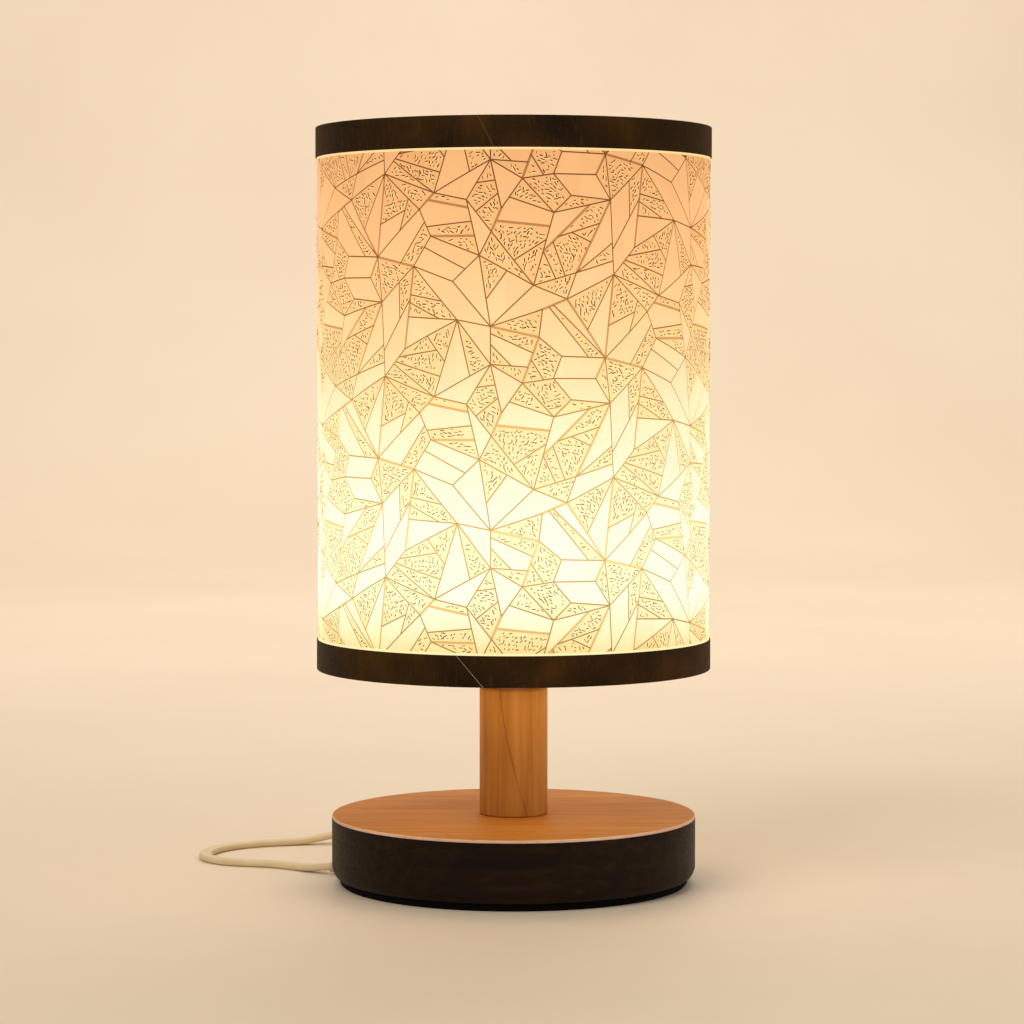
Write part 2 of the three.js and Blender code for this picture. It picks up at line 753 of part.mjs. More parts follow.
/** The rocker is drawn pressed to one side, with a shallow V across its top and two stub axles. */
function switchRocker() {
  const half = rockerLength / 2;
  const outline = new THREE.Shape([
    new THREE.Vector2(-half + 2.4, -1.9), new THREE.Vector2(half - 2.4, -1.9), new THREE.Vector2(half, 1.4),
    new THREE.Vector2(half, 4.9), new THREE.Vector2(0, 4.1), new THREE.Vector2(-half, 4.9),
    new THREE.Vector2(-half, 1.4),
  ]);
  const button = raised(outline, -rockerWidth / 2, rockerWidth / 2).rotateX(Math.PI / 2);
  const axle = rod(1.4, (ribInner + ribThickness) * 2 - 0.4, 'y', [0, 0, 0], 16);
  const rocker = part('switch_rocker', joined(button, axle), whitePlastic);
  const tilted = placed([rocker], [0, 0, pivotHeight]);
  tilted.rotation.y = THREE.MathUtils.degToRad(rockerTilt);
  return tilted;
}

function switchInsides() {
  const terminals = [-1, 1].map((side, index) => {
    const [x, y] = [side * 10.5, 6.2];
    const brick = block([x - 3, y - 2.2, switchWall], [x + 3, y + 2.2, switchWall + 4.4]);
    return part(`switch_terminal_${index + 1}`, cut(brick, rod(1, 8, 'x', [x, y, 3.4])), brass);
  });
  const strip = block([-7.2, 7.2, 4.6], [7.2, 8.6, 5.1]);
  const screws = bosses.map(([x, y], index) => {
    const head = [[0, 0.3], [2.2, 0.3], [2.2, 1.1], [screwRadius, 1.1], [screwRadius, 9.4], [0, 9.4]];
    return part(`switch_screw_${index + 1}`, turned(head, 12).translate(x, y, 0), steel);
  });
  return [...terminals, part('switch_contact_strip', strip, brass), ...screws];
}

function inlineSwitch() {
  const parts = [switchLowerShell(), switchUpperShell(), switchRocker(), ...switchInsides()];
  return placed(parts, [...switchCentre, 0]);
}

// ---- Plug ------------------------------------------------------------------------------------------------

/** Flat two-pin plug lying on its broad side: its blades point to -X and its boot to +X. */
function plug() {
  const [tipX, y] = bootTip;
  const neckX = tipX - bootLength;
  const faceX = neckX - plugLength;
  const middle = plugHeight / 2;
  const outline = new THREE.Shape();
  outline.moveTo(faceX, y - plugWidth / 2 + 1);
  outline.lineTo(faceX + 1, y - plugWidth / 2);
  outline.lineTo(faceX + plugLength * 0.5, y - plugWidth / 2);
  outline.quadraticCurveTo(neckX - 4, y - plugWidth / 2, neckX, y - 5.2);
  outline.lineTo(neckX, y + 5.2);
  outline.quadraticCurveTo(neckX - 4, y + plugWidth / 2, faceX + plugLength * 0.5, y + plugWidth / 2);
  outline.lineTo(faceX + 1, y + plugWidth / 2);
  outline.lineTo(faceX, y + plugWidth / 2 - 1);
  const options = {
    depth: plugHeight - 2, curveSegments: 5,
    bevelThickness: 1, bevelSize: 1, bevelOffset: -1, bevelSegments: 1,
  };
  const shell = new THREE.ExtrudeGeometry(outline, options).translate(0, 0, 1);
  const boot = new THREE.CylinderGeometry(4.1, 5, bootLength - gap, 16).rotateZ(-Math.PI / 2);
  boot.scale(1, 1, 0.72).translate(neckX + gap + (bootLength - gap) / 2, y, middle);
  const blades = [-1, 1].map((side, index) => {
    const centre = y + (side * bladeSpacing) / 2;
    const blade = block(
      [faceX - gap - bladeLength, centre - 0.75, middle - 3.15],
      [faceX - gap, centre + 0.75, middle + 3.15],
    );
    const hole = rod(1.6, 4, 'y', [faceX - bladeLength + 3, centre, middle]);
    return part(`plug_blade_${index + 1}`, cut(blade, hole), brass);
  });
  return [part('plug_body', shell, creamPlastic), part('plug_boot', boot, creamPlastic), ...blades];
}

// ---- The lamp --------------------------------------------------------------------------------------------

const lamp = new THREE.Group();
lamp.add(
  placed([footPad(), baseBody(), baseTopDisc(), post(), ...tubeAndNut(), ...lampHolder()]),
  placed([strainRelief(), innerCord()], [0, 0, 0], exitAngle),
  placed(bulb()),
  placed(shade()),
  placed([shadeRingNut()]),
  placed(freeCord()),
  inlineSwitch(),
  placed(plug()),
);

export default lamp;
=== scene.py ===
"""Table lamp with a mosaic shade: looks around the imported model. Metres, +Z up, the lamp faces -Y."""
import json
import math
import random

import bmesh
import bpy
from mathutils import Matrix, Vector
from mathutils.geometry import delaunay_2d_cdt


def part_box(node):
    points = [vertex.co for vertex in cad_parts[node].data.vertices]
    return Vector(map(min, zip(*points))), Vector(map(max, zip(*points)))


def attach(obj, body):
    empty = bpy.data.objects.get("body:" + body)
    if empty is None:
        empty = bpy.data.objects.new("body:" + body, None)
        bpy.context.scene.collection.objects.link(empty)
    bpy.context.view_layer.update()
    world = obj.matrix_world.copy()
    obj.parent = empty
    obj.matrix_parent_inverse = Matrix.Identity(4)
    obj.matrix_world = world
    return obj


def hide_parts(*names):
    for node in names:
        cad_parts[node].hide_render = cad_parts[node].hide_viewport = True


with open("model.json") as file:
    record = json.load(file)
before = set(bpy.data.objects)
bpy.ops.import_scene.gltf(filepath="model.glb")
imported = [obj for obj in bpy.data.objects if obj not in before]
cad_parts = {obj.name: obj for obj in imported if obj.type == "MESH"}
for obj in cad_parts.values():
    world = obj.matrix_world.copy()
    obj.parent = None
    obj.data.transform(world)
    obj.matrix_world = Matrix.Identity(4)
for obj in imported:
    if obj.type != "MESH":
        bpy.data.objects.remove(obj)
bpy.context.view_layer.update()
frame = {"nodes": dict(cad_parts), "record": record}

MM = 0.001
SQUARE_MM = MM * MM
UP = Vector((0, 0, 1))
scene = bpy.context.scene

# Camera, from a fit to the photograph
CAMERA_SPOT = (-0.0006, -1.229, 0.2054)
CAMERA_TILT = 2.954
CAMERA_LENS = 113.48

# Sizes of the CAD model that its boxes don't show
TUBE_HOLE = 5.3 * MM
CAP_HOLE = 5.15 * MM
NUT_BORE = 19.65 * MM
RECESS_RADIUS = 23 * MM
RECESS_TOP = 16 * MM
FLANGE_WIDTH = 2.4 * MM
RELIEF_LENGTH = 22 * MM
RELIEF_PROUD = 3.5 * MM
BAND_WALL = 0.5 * MM
BAND_TURN_IN = 4 * MM
WIRE_RADIUS = 1.6 * MM
ARM_RADIUS = 1.44 * MM
TIE_THICKNESS = 0.7 * MM


def top_of(node):
    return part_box(node)[1].z


def bottom_of(node):
    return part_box(node)[0].z


def radius_of(node):
    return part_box(node)[1].x


# ---- Camera --------------------------------------------------------------------------------------

def add_camera():
    data = bpy.data.cameras.new("camera")
    data.sensor_width = 36
    data.lens = CAMERA_LENS
    camera = bpy.data.objects.new("camera", data)
    camera.location = CAMERA_SPOT
    camera.rotation_euler = (math.radians(90 - CAMERA_TILT), 0, 0)
    data.clip_start, data.clip_end = 0.05, 60
    scene.collection.objects.link(camera)
    scene.camera = camera


# ---- Shader building blocks ----------------------------------------------------------------------

def rgb(red, green, blue):
    """A screen colour, 0 to 255, as linear light."""
    def linear(value):
        value /= 255
        return value / 12.92 if value <= 0.04045 else ((value + 0.055) / 1.055) ** 2.4
    return (linear(red), linear(green), linear(blue), 1)


class Shader:
    """A material with one Principled surface, and short calls for the nodes that feed it."""

    def __init__(self, name, **sockets):
        self.material = bpy.data.materials.new(name)
        self.material.use_nodes = True
        self.tree = self.material.node_tree
        self.surface = self.tree.nodes["Principled BSDF"]
        for key, value in sockets.items():
            self.surface.inputs[key.replace("_", " ")].default_value = value
        self.place = self.node("ShaderNodeTexCoord").outputs["Object"]

    def node(self, kind, **settings):
        made = self.tree.nodes.new(kind)
        for key, value in settings.items():
            setattr(made, key, value)
        return made

    def link(self, source, target):
        self.tree.links.new(source, target)

    def feed(self, socket, source):
        self.link(source, self.surface.inputs[socket])

    def stretched(self, x=1.0, y=1.0, z=1.0, source=None):
        made = self.node("ShaderNodeMapping")
        made.inputs["Scale"].default_value = (x, y, z)
        self.link(source or self.place, made.inputs["Vector"])
        return made.outputs["Vector"]

    def noise(self, scale, detail=3.0, rough=0.5, source=None, distortion=0.0):
        made = self.node("ShaderNodeTexNoise")
        made.inputs["Scale"].default_value = scale
        made.inputs["Detail"].default_value = detail
        made.inputs["Roughness"].default_value = rough
        made.inputs["Distortion"].default_value = distortion
        self.link(source or self.place, made.inputs["Vector"])
        return made.outputs["Fac"]

    def cells(self, scale, feature="F1", source=None):
        made = self.node("ShaderNodeTexVoronoi", feature=feature)
        made.inputs["Scale"].default_value = scale
        self.link(source or self.place, made.inputs["Vector"])
        return made.outputs["Distance"]

    def ramp(self, source, *stops):
        made = self.node("ShaderNodeValToRGB")
        elements = made.color_ramp.elements
        for index, (position, colour) in enumerate(stops):
            if index < 2:
                element = elements[index]
                element.position = position
            else:
                element = elements.new(position)
            element.color = colour
        self.link(source, made.inputs["Fac"])
        return made.outputs["Color"]

    def range(self, source, low, high, to_low=0.0, to_high=1.0):
        made = self.node("ShaderNodeMapRange")
        for key, value in (("From Min", low), ("From Max", high), ("To Min", to_low), ("To Max", to_high)):
            made.inputs[key].default_value = value
        self.link(source, made.inputs["Value"])
        return made.outputs["Result"]

    def math(self, operation, first, second=None):
        made = self.node("ShaderNodeMath", operation=operation)
        for socket, value in zip(made.inputs, (first, second)):
            if isinstance(value, (int, float)):
                socket.default_value = value
            elif value is not None:
                self.link(value, socket)
        return made.outputs["Value"]

    def mix(self, factor, first, second, blend="MIX"):
        made = self.node("ShaderNodeMix", data_type="RGBA", blend_type=blend)
        for socket, value in ((0, factor), (6, first), (7, second)):
            if isinstance(value, (int, float, tuple)):
                made.inputs[socket].default_value = value
            else:
                self.link(value, made.inputs[socket])
        return made.outputs[2]

    def axis(self, letter):
        made = self.node("ShaderNodeSeparateXYZ")
        self.link(self.place, made.inputs["Vector"])
        return made.outputs[letter]

    def bump(self, height, distance):
        made = self.node("ShaderNodeBump")
        made.inputs["Strength"].default_value = 1.0
        made.inputs["Distance"].default_value = distance
        self.link(height, made.inputs["Height"])
        self.feed("Normal", made.outputs["Normal"])

    def rough(self, source, low, high):
        self.feed("Roughness", self.range(source, 0.3, 0.7, low, high))


def grained(name, tones, along="z", roughness=(0.4, 0.6), stretch=(260, 9), depth=0.00006, gloss=0.5):
    """Wood in three tones: streaks that run along one axis, pores, and slow colour drift."""
    s = Shader(name, Specular_IOR_Level=gloss)
    across, length = stretch
    scales = {axis: across for axis in "xyz"}
    scales[along] = length
    field = s.stretched(**scales)
    streaks = s.noise(1.0, 5.0, 0.62, field, 0.4)
    drift = s.noise(14.0, 2.0)
    both = s.math("ADD", s.math("MULTIPLY", streaks, 0.7), s.math("MULTIPLY", drift, 0.3))
    colour = s.ramp(both, *((at, rgb(*tone)) for at, tone in zip((0.34, 0.5, 0.64), tones)))
    s.feed("Base Color", colour)
    pores = s.noise(2.6, 2.0, 0.5, field)
    s.bump(s.math("ADD", streaks, s.math("MULTIPLY", pores, 0.5)), depth)
    s.rough(pores, *roughness)
    return s, colour


def shaded(colour, share):
    """A darker tone of a colour."""
    return tuple(value * share for value in colour[:3]) + (1,)


def fibrous(name, fibres, dark, light, depth, roughness, squash=1.0, **sockets):
    """Felt or paper. fibres is the noise's scale, detail and roughness."""
    s = Shader(name, **sockets)
    field = s.noise(*fibres, s.stretched(1, 1, squash))
    s.feed("Base Color", s.ramp(field, (0.3, dark), (0.7, light)))
    s.bump(field, depth)
    s.rough(field, *roughness)
    return s.material


def moulded(name, colour, roughness=0.35, depth=0.00002):
    """Plastic or ceramic: a fine skin texture and a slight change of gloss."""
    s = Shader(name)
    skin = s.noise(2600.0, 2.0)
    clouds = s.noise(60.0, 2.0)
    s.feed("Base Color", s.ramp(clouds, (0.3, shaded(colour, 0.88)), (0.7, colour)))
    s.bump(skin, depth)
    s.rough(clouds, roughness - 0.06, roughness + 0.08)
    return s.material


def metal(name, colour, roughness=0.28):
    """Metal: fine drawn lines round the piece and dull patches."""
    s = Shader(name, Metallic=1.0)
    lines = s.noise(1.0, 3.0, 0.6, s.stretched(300, 300, 2400))
    clouds = s.noise(90.0, 3.0)
    s.feed("Base Color", s.ramp(clouds, (0.32, shaded(colour, 0.72)), (0.62, colour)))
    s.bump(lines, 0.00002)
    s.rough(s.math("ADD", s.math("MULTIPLY", lines, 0.5), s.math("MULTIPLY", clouds, 0.5)),
            roughness - 0.1, roughness + 0.16)
    return s.material


# ---- Materials -----------------------------------------------------------------------------------

SHEET_LOW = top_of("bottom_band")
SHEET_HIGH = bottom_of("top_band")
LIT_SHEET_SHARE = 0.18


def glowing(name, stops, roughness=0.4, variation=0.0, strength=1.0):
    """The lit sheet. Each stop is a share of the height between the bands, and a screen colour."""
    s = Shader(name, Emission_Strength=strength, Specular_IOR_Level=0.2)
    height = s.range(s.axis("Z"), SHEET_LOW, SHEET_HIGH)
    colour = s.ramp(height, *((at, rgb(*tone)) for at, *tone in stops))
    mottled = s.noise(45.0, 3.0)
    colour = s.mix(s.range(mottled, 0.3, 0.7, 0.0, 0.07), colour, rgb(232, 176, 104), "MULTIPLY")
    if variation:
        island = s.node("ShaderNodeNewGeometry").outputs["Random Per Island"]
        colour = s.mix(s.math("MULTIPLY", island, variation), colour, rgb(226, 160, 88), "MULTIPLY")
    s.feed("Emission Color", colour)
    s.feed("Base Color", s.mix(1.0, colour, shaded((1, 1, 1), LIT_SHEET_SHARE), "MULTIPLY"))
    s.bump(s.noise(900.0, 2.0), 0.00002)
    s.rough(mottled, roughness - 0.08, roughness + 0.1)
    return s.material


def sheet_materials():
    """Shards, textured shards, wide grooves, thin lines, dark strokes, painted-highlight strokes and the
    inner face.
    """
    shard = glowing("sheet_shards", (
        (0.0, 250, 224, 160), (0.035, 255, 242, 190), (0.11, 255, 255, 230),
        (0.27, 255, 255, 230), (0.46, 254, 241, 196), (0.6, 252, 219, 162),
        (0.8, 247, 194, 134), (1.0, 236, 178, 120),
    ), variation=0.1)
    textured = glowing("sheet_textured_shards", (
        (0.0, 246, 216, 144), (0.11, 255, 250, 200), (0.27, 255, 250, 200),
        (0.46, 254, 234, 172), (0.6, 250, 212, 146), (0.8, 243, 190, 124),
        (1.0, 232, 172, 110),
    ), roughness=0.5, variation=0.1)
    groove = glowing("sheet_grooves", (
        (0.0, 214, 170, 98), (0.2, 246, 218, 146), (0.45, 228, 184, 112),
        (0.7, 196, 140, 84), (1.0, 172, 112, 68),
    ), roughness=0.55)
    line = glowing("sheet_lines", (
        (0.0, 150, 110, 52), (0.2, 214, 176, 104), (0.4, 200, 156, 88),
        (0.6, 156, 108, 56), (0.8, 126, 80, 40), (1.0, 108, 66, 34),
    ), roughness=0.6)
    stroke = glowing("sheet_dark_strokes", (
        (0.0, 120, 84, 28), (0.2, 186, 146, 66), (0.4, 168, 122, 54),
        (0.6, 116, 76, 32), (0.8, 90, 52, 22), (1.0, 78, 44, 22),
    ), roughness=0.6)
    # Painted highlights beside the dark strokes; the plain strips along the bands take this finish too.
    gleam = glowing("sheet_gleam_strokes", (
        (0.0, 255, 238, 178), (0.11, 255, 255, 236), (0.3, 255, 255, 232),
        (0.6, 255, 236, 180), (1.0, 255, 218, 154),
    ))
    inner = glowing("sheet_inner_face", (
        (0.0, 250, 214, 156), (0.3, 252, 230, 190), (0.6, 248, 208, 156),
        (1.0, 232, 174, 118),
    ), strength=1.3)
    return [shard, textured, groove, line, stroke, gleam, inner]


def dark_band_material():
    s = Shader("band_leather", Specular_IOR_Level=0.08)
    grain = s.cells(1500.0, "DISTANCE_TO_EDGE", s.stretched(1, 1, 0.8))
    clouds = s.noise(38.0, 4.0)
    colour = s.ramp(clouds, (0.3, rgb(30, 17, 3)), (0.55, rgb(54, 34, 7)), (0.75, rgb(82, 53, 14)))
    fibres = s.noise(1.0, 4.0, 0.6, s.stretched(900, 900, 160))
    colour = s.mix(s.range(fibres, 0.56, 0.72, 0.0, 0.4), colour, rgb(84, 54, 22))
    s.feed("Base Color", colour)
    s.bump(s.math("ADD", s.math("MULTIPLY", grain, 3.0), fibres), 0.00012)
    s.rough(clouds, 0.46, 0.66)
    return s.material


def post_material():
    """Light vertical grain with one dark line that wanders down the front, and painted shade that darkens it
    towards the foot.
    """
    s, colour = grained(
        "post_wood", ((184, 120, 50), (208, 145, 66), (224, 167, 84)), roughness=(0.42, 0.6), gloss=0.2)
    drop = s.range(s.axis("Z"), bottom_of("shade_sheet"), top_of("base_top_disc"))
    drop = s.math("POWER", drop, 1.7)
    wander = s.noise(70.0, 2.0)
    reach, play = 5.6 * MM, 0.6 * MM
    line = s.math("ADD", s.range(drop, 0, 1, -reach, reach), s.range(wander, 0, 1, -play, play))
    away = s.math("ABSOLUTE", s.math("SUBTRACT", s.axis("X"), line))
    width = s.range(wander, 0.3, 0.7, 0.15 * MM, 0.5 * MM)
    near = s.math("SUBTRACT", 1.0, s.math("MINIMUM", s.math("DIVIDE", away, width), 1.0))
    front = s.math("LESS_THAN", s.axis("Y"), 0.0)
    colour = s.mix(s.math("MULTIPLY", s.math("MULTIPLY", near, front), 0.6), colour, rgb(104, 56, 22))
    # Painted shade: the post grows darker towards its foot, where the lamp's light falls off.
    painted_shade_low = s.range(s.axis("Z"), top_of("base_top_disc"), top_of("post"), 0.45, 0.0)
    s.feed("Base Color", s.mix(painted_shade_low, colour, rgb(150, 110, 76), "MULTIPLY"))
    return s.material


def board_material():
    s = Shader("circuit_board")
    weave = s.cells(1400.0)
    s.feed("Base Color", s.ramp(weave, (0.2, rgb(22, 74, 40)), (0.8, rgb(40, 108, 62))))
    s.bump(weave, 0.00003)
    s.rough(weave, 0.35, 0.5)
    return s.material


def globe_material():
    """The lit envelope: brightest in the middle of its height, where the diodes shine through."""
    s = Shader("bulb_frost", Emission_Strength=1.6)
    low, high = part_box("bulb_globe")
    height = s.range(s.axis("Z"), low.z, high.z)
    frost = s.noise(1500.0, 2.0)
    colour = s.ramp(height, (0.0, rgb(206, 160, 98)), (0.3, rgb(244, 216, 168)), (1.0, rgb(232, 196, 142)))
    s.feed("Emission Color", colour)
    s.feed("Base Color", s.ramp(frost, (0.3, rgb(238, 230, 212)), (0.7, rgb(250, 244, 230))))
    s.bump(frost, 0.00003)
    s.rough(frost, 0.4, 0.55)
    return s.material


def slot_materials():
    """One finish for each material slot of the record, those of the sheet, and the base's other two."""
    shards = sheet_materials()
    stained, _ = grained("stained_wood", ((16, 8, 3), (27, 15, 6), (39, 24, 11)), "x", (0.4, 0.56),
                         (300, 12), 0.00005, 0.1)
    veneer, _ = grained("veneer_wood", ((164, 99, 34), (187, 118, 43), (202, 136, 54)), "x", (0.5, 0.64),
                        (420, 14), gloss=0.15)
    # The veneer's rim is real; its pale colour, much lighter than its face, is a painted highlight along the
    # base's top edge.
    rim_highlight, _ = grained("veneer_rim_highlight", ((196, 150, 120), (226, 186, 158), (240, 208, 184)), "z", (0.5, 0.7),
                          (200, 3000))
    return {
        "light_wood": post_material(),
        "dark_wood": stained.material,
        "foot": fibrous("foot_felt", (2200.0, 4.0, 0.7), rgb(2, 2, 2), rgb(8, 7, 7), 0.0002, (0.85, 0.98),
                        Specular_IOR_Level=0.1),
        "mosaic_sheet": shards[0],
        "dark_band": dark_band_material(),
        "lining_tape": fibrous("lining_paper", (1100.0, 4.0, 0.7), rgb(220, 204, 170), rgb(244, 230, 202),
                               0.00005, (0.7, 0.9), 0.35),
        "steel_wire": metal("steel_wire", rgb(196, 198, 200)),
        "brass": metal("brass", rgb(214, 176, 92), 0.26),
        "holder_plastic": moulded("holder_plastic", rgb(238, 232, 220)),
        "holder_ceramic": moulded("holder_ceramic", rgb(240, 236, 226), 0.25),
        "bulb_frost": globe_material(),
        "bulb_plastic": moulded("bulb_plastic", rgb(236, 232, 224), 0.4),
        "bulb_black": moulded("bulb_black", rgb(30, 29, 30), 0.3),
        "circuit_board": board_material(),
        "cord_cream": moulded("cord_cream", rgb(226, 206, 164), 0.42, 0.00004),
        "switch_cream": moulded("switch_cream", rgb(230, 214, 178), 0.38, 0.00004),
        "tie_black": moulded("tie_black", rgb(26, 25, 26), 0.6, 0.00006),
    }, shards, [veneer.material, rim_highlight.material]


# ---- Mesh building blocks ------------------------------------------------------------------------

CORNER_STEPS = 3


def mesh_object(name, corners, faces, materials, slots=None, sharp=32):
    mesh = bpy.data.meshes.new(name)
    mesh.from_pydata([tuple(corner) for corner in corners], [], faces)
    for material in materials:
        mesh.materials.append(material)
    if slots:
        mesh.polygons.foreach_set("material_index", slots)
    smoothed(mesh, sharp)
    made = bpy.data.objects.new(name, mesh)
    scene.collection.objects.link(made)
    return made


def smoothed(mesh, sharp=32):
    mesh.polygons.foreach_set("use_smooth", [True] * len(mesh.polygons))
    mesh.set_sharp_from_angle(angle=math.radians(sharp))


def piece(made, body, slot, *nodes):
    """Ties a piece to its body and hides the CAD nodes that it stands for. Its slot is not used."""
    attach(made, body)
    if nodes:
        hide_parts(*nodes)
    return made


def settled(made, sharp=32):
    """Applies the modifiers."""
    graph = bpy.context.evaluated_depsgraph_get()
    mesh = bpy.data.meshes.new_from_object(made.evaluated_get(graph))
    made.modifiers.clear()
    made.data = mesh
    smoothed(mesh, sharp)


def eased(profile, radius, closed=True):
    """Rounds the corners of an outline: each becomes a short curve that leaves its sides by radius."""
    result = []
    count = len(profile)
    for index, corner in enumerate(profile):
        here = Vector(corner)
        if not closed and index in (0, count - 1):
            result.append(here)
            continue
        before, after = Vector(profile[index - 1]) - here, Vector(profile[(index + 1) % count]) - here
        turn = math.pi - before.angle(after)
        if turn < math.radians(14):
            result.append(here)
            continue
        start = here + before.normalized() * min(radius, before.length * 0.45)
        end = here + after.normalized() * min(radius, after.length * 0.45)
        for step in range(CORNER_STEPS + 1):
            t = step / CORNER_STEPS
            result.append(start * (1 - t) ** 2 + here * 2 * t * (1 - t) + end * t ** 2)
    return result


def turned(name, profile, materials, segments=96, slot_at=None, sharp=32, round_by=0.3 * MM):
    """Turns a [radius, height] outline about Z. One that starts and ends on the axis closes there."""
    solid = profile[0][0] == 0
    outline = eased(profile, round_by, closed=not solid) if round_by else [Vector(p) for p in profile]
    corners, faces, slots, rows = [], [], [], []
    for radius, height in outline:
        if radius < 1e-7:
            rows.append([len(corners)] * segments)
            corners.append((0, 0, height))
            continue
        rows.append(list(range(len(corners), len(corners) + segments)))
        for index in range(segments):
            angle = 2 * math.pi * index / segments
            corners.append((radius * math.cos(angle), radius * math.sin(angle), height))
    spans = len(outline) - 1 if solid else len(outline)
    for row in range(spans):
        low, high = rows[row], rows[(row + 1) % len(rows)]
        middle = (outline[row] + outline[(row + 1) % len(outline)]) / 2
        for index in range(segments):
            after = (index + 1) % segments
            face = [low[index], low[after], high[after], high[index]]
            faces.append(list(dict.fromkeys(face)))
            slots.append(slot_at(*middle) if slot_at else 0)
    made = mesh_object(name, corners, faces, materials, slots, sharp)
    outward(made.data)
    return made


def outward(mesh):
    """Turns every face to point out of its solid."""
    work = bmesh.new()
    work.from_mesh(mesh)
    bmesh.ops.recalc_face_normals(work, faces=work.faces)
    work.to_mesh(mesh)
    work.free()


def carved(made, low, high, angle=0.0):
    """Cuts a box, turned about Z, out of a piece."""
    xs, ys, zs = zip(low, high)
    spots = [Vector((x, y, z)) for z in zs for y in ys for x in xs]
    turn = Matrix.Rotation(angle, 3, "Z")
    sides = [(0, 2, 3, 1), (4, 5, 7, 6), (0, 1, 5, 4), (2, 6, 7, 3), (0, 4, 6, 2), (1, 3, 7, 5)]
    cutter = mesh_object(made.name + "_cutter", [turn @ spot for spot in spots], sides, [])
    change = made.modifiers.new("slot", "BOOLEAN")
    change.operation, change.object, change.solver = "DIFFERENCE", cutter, "EXACT"
    settled(made)
    bpy.data.objects.remove(cutter)


def softened(name, node, materials, width=0.35 * MM, body="stand", slot="switch_cream"):
    """A CAD solid with its hard edges rounded."""
    made = bpy.data.objects.new(name, frame["nodes"][node].data.copy())
    scene.collection.objects.link(made)
    made.data.materials.clear()
    for material in materials:
        made.data.materials.append(material)
    work = bmesh.new()
    work.from_mesh(made.data)
    bmesh.ops.remove_doubles(work, verts=work.verts, dist=1e-6)
    bmesh.ops.dissolve_limit(work, angle_limit=math.radians(1), verts=work.verts, edges=work.edges)
    work.to_mesh(made.data)
    work.free()
    change = made.modifiers.new("rounding", "BEVEL")
    change.width, change.segments, change.limit_method = width, 2, "ANGLE"
    change.angle_limit = math.radians(35)
    settled(made, 40)
    return piece(made, body, slot, node)


def smooth_path(points, step):
    """Points a step apart on a Catmull-Rom curve through the given ones."""
    knots = [Vector(point) for point in points]
    knots = [knots[0] * 2 - knots[1]] + knots + [knots[-1] * 2 - knots[-2]]
    result = []
    for a, b, c, d in zip(knots, knots[1:], knots[2:], knots[3:]):
        count = max(1, round((c - b).length / step))
        for index in range(count):
            t = index / count
            result.append(0.5 * (2 * b + (c - a) * t + (2 * a - 5 * b + 4 * c - d) * t ** 2
                                 + (3 * b - 3 * c + d - a) * t ** 3))
    return result + [knots[-2]]


def lofted(name, rows, materials, joined=False, slots=None, sharp=40):
    """A skin over closed rings of points. The last ring joins the first, or both ends are filled."""
    count = len(rows[0])
    corners = [corner for row in rows for corner in row]
    faces = []
    for row in range(len(rows) if joined else len(rows) - 1):
        first, second = row * count, (row + 1) % len(rows) * count
        for index in range(count):
            after = (index + 1) % count
            faces.append([first + index, first + after, second + after, second + index])
    if not joined:
        faces += [list(range(count)), list(reversed(range(len(corners) - count, len(corners))))]
    made = mesh_object(name, corners, faces, materials, slots, sharp)
    outward(made.data)
    smoothed(made.data, sharp)
    return made


def swept(name, path, section, materials, twist=None, side=None):
    """Sweeps a closed [across, through] section along a path. twist gives its turn at each point."""
    rows = []
    for index, here in enumerate(path):
        along = (path[min(index + 1, len(path) - 1)] - path[max(index - 1, 0)]).normalized()
        across_way = side or along.cross(UP).normalized()
        rise = across_way.cross(along)
        turn = twist[index] if twist else 0.0
        rows.append([
            here + across_way * (across * math.cos(turn) - through * math.sin(turn))
            + rise * (across * math.sin(turn) + through * math.cos(turn)) for across, through in section])
    return lofted(name, rows, materials, sharp=60)


def sides_of(loop):
    """Each member of a loop with the next one."""
    return zip(loop, loop[1:] + loop[:1])


def circle(radius, sides=16):
    return arc(radius, 0, 360, sides)[:-1]


def arc(radius, start, end, steps, centre=(0, 0)):
    """Points on an arc from one angle to another, in degrees, with both its ends."""
    angles = [math.radians(start + (end - start) * step / steps) for step in range(steps + 1)]
    return [(centre[0] + radius * math.cos(angle), centre[1] + radius * math.sin(angle)) for angle in angles]


# ---- Cord ----------------------------------------------------------------------------------------

CORD_WIDTH = 5.2 * MM
CORD_THICKNESS = 2.6 * MM
EXIT_ANGLE = math.radians(165)
EXIT_WAY = Vector((math.cos(EXIT_ANGLE), math.sin(EXIT_ANGLE), 0))
EXIT_RISE = Vector((0, 0, 2.9 * MM))
SWITCH_ENDS = [(-51.5, 95, 5.5), (-37, 95, 5.5), (-22.5, 95, 5.5)]
PATH_STEP = 2.6 * MM

CORD_RUN = [
    (-71.2, 19.1, 2.8), (-75.6, 20.8, 2.3), (-80.2, 24, 1.6), (-85.4, 28.6, 1.3), (-91.8, 32.8, 1.3),
    (-98.8, 35.8, 1.3), (-106, 37.4, 1.3), (-113, 40, 1.3), (-118.6, 44.6, 1.3), (-122.2, 50.6, 1.3),
    (-123.5, 57.6, 1.3), (-122.6, 65.4, 1.3), (-119.2, 73.4, 1.3), (-113.4, 80.6, 1.3),
    (-105.4, 86.2, 1.3), (-96, 89.8, 1.3), (-86, 92.2, 1.7), (-76, 94.2, 3.4), (-65.4, 95, 5.5),
]
CORD_LINK = [(-8.6, 95, 5.5), (-2, 94.6, 4.8), (6, 92.7, 4.1), (16.4, 90.2, 3.9)]
CORD_TAIL = [(7.8, 148.9, 7.7), (5.8, 147.8, 6.9), (3.8, 147.1, 6.4), (1.6, 147, 6.3)]
BOOT_END = (-4, 147, 6.3)
COIL_CENTRE = (36.5, 122.6)
COIL_RADIUS = 34.5
COIL_TURNS = 4.25
COIL_EXTRA = 20 / 360
COIL_HEIGHTS = (3.8, 9.1)
POINTS_PER_TURN = 60


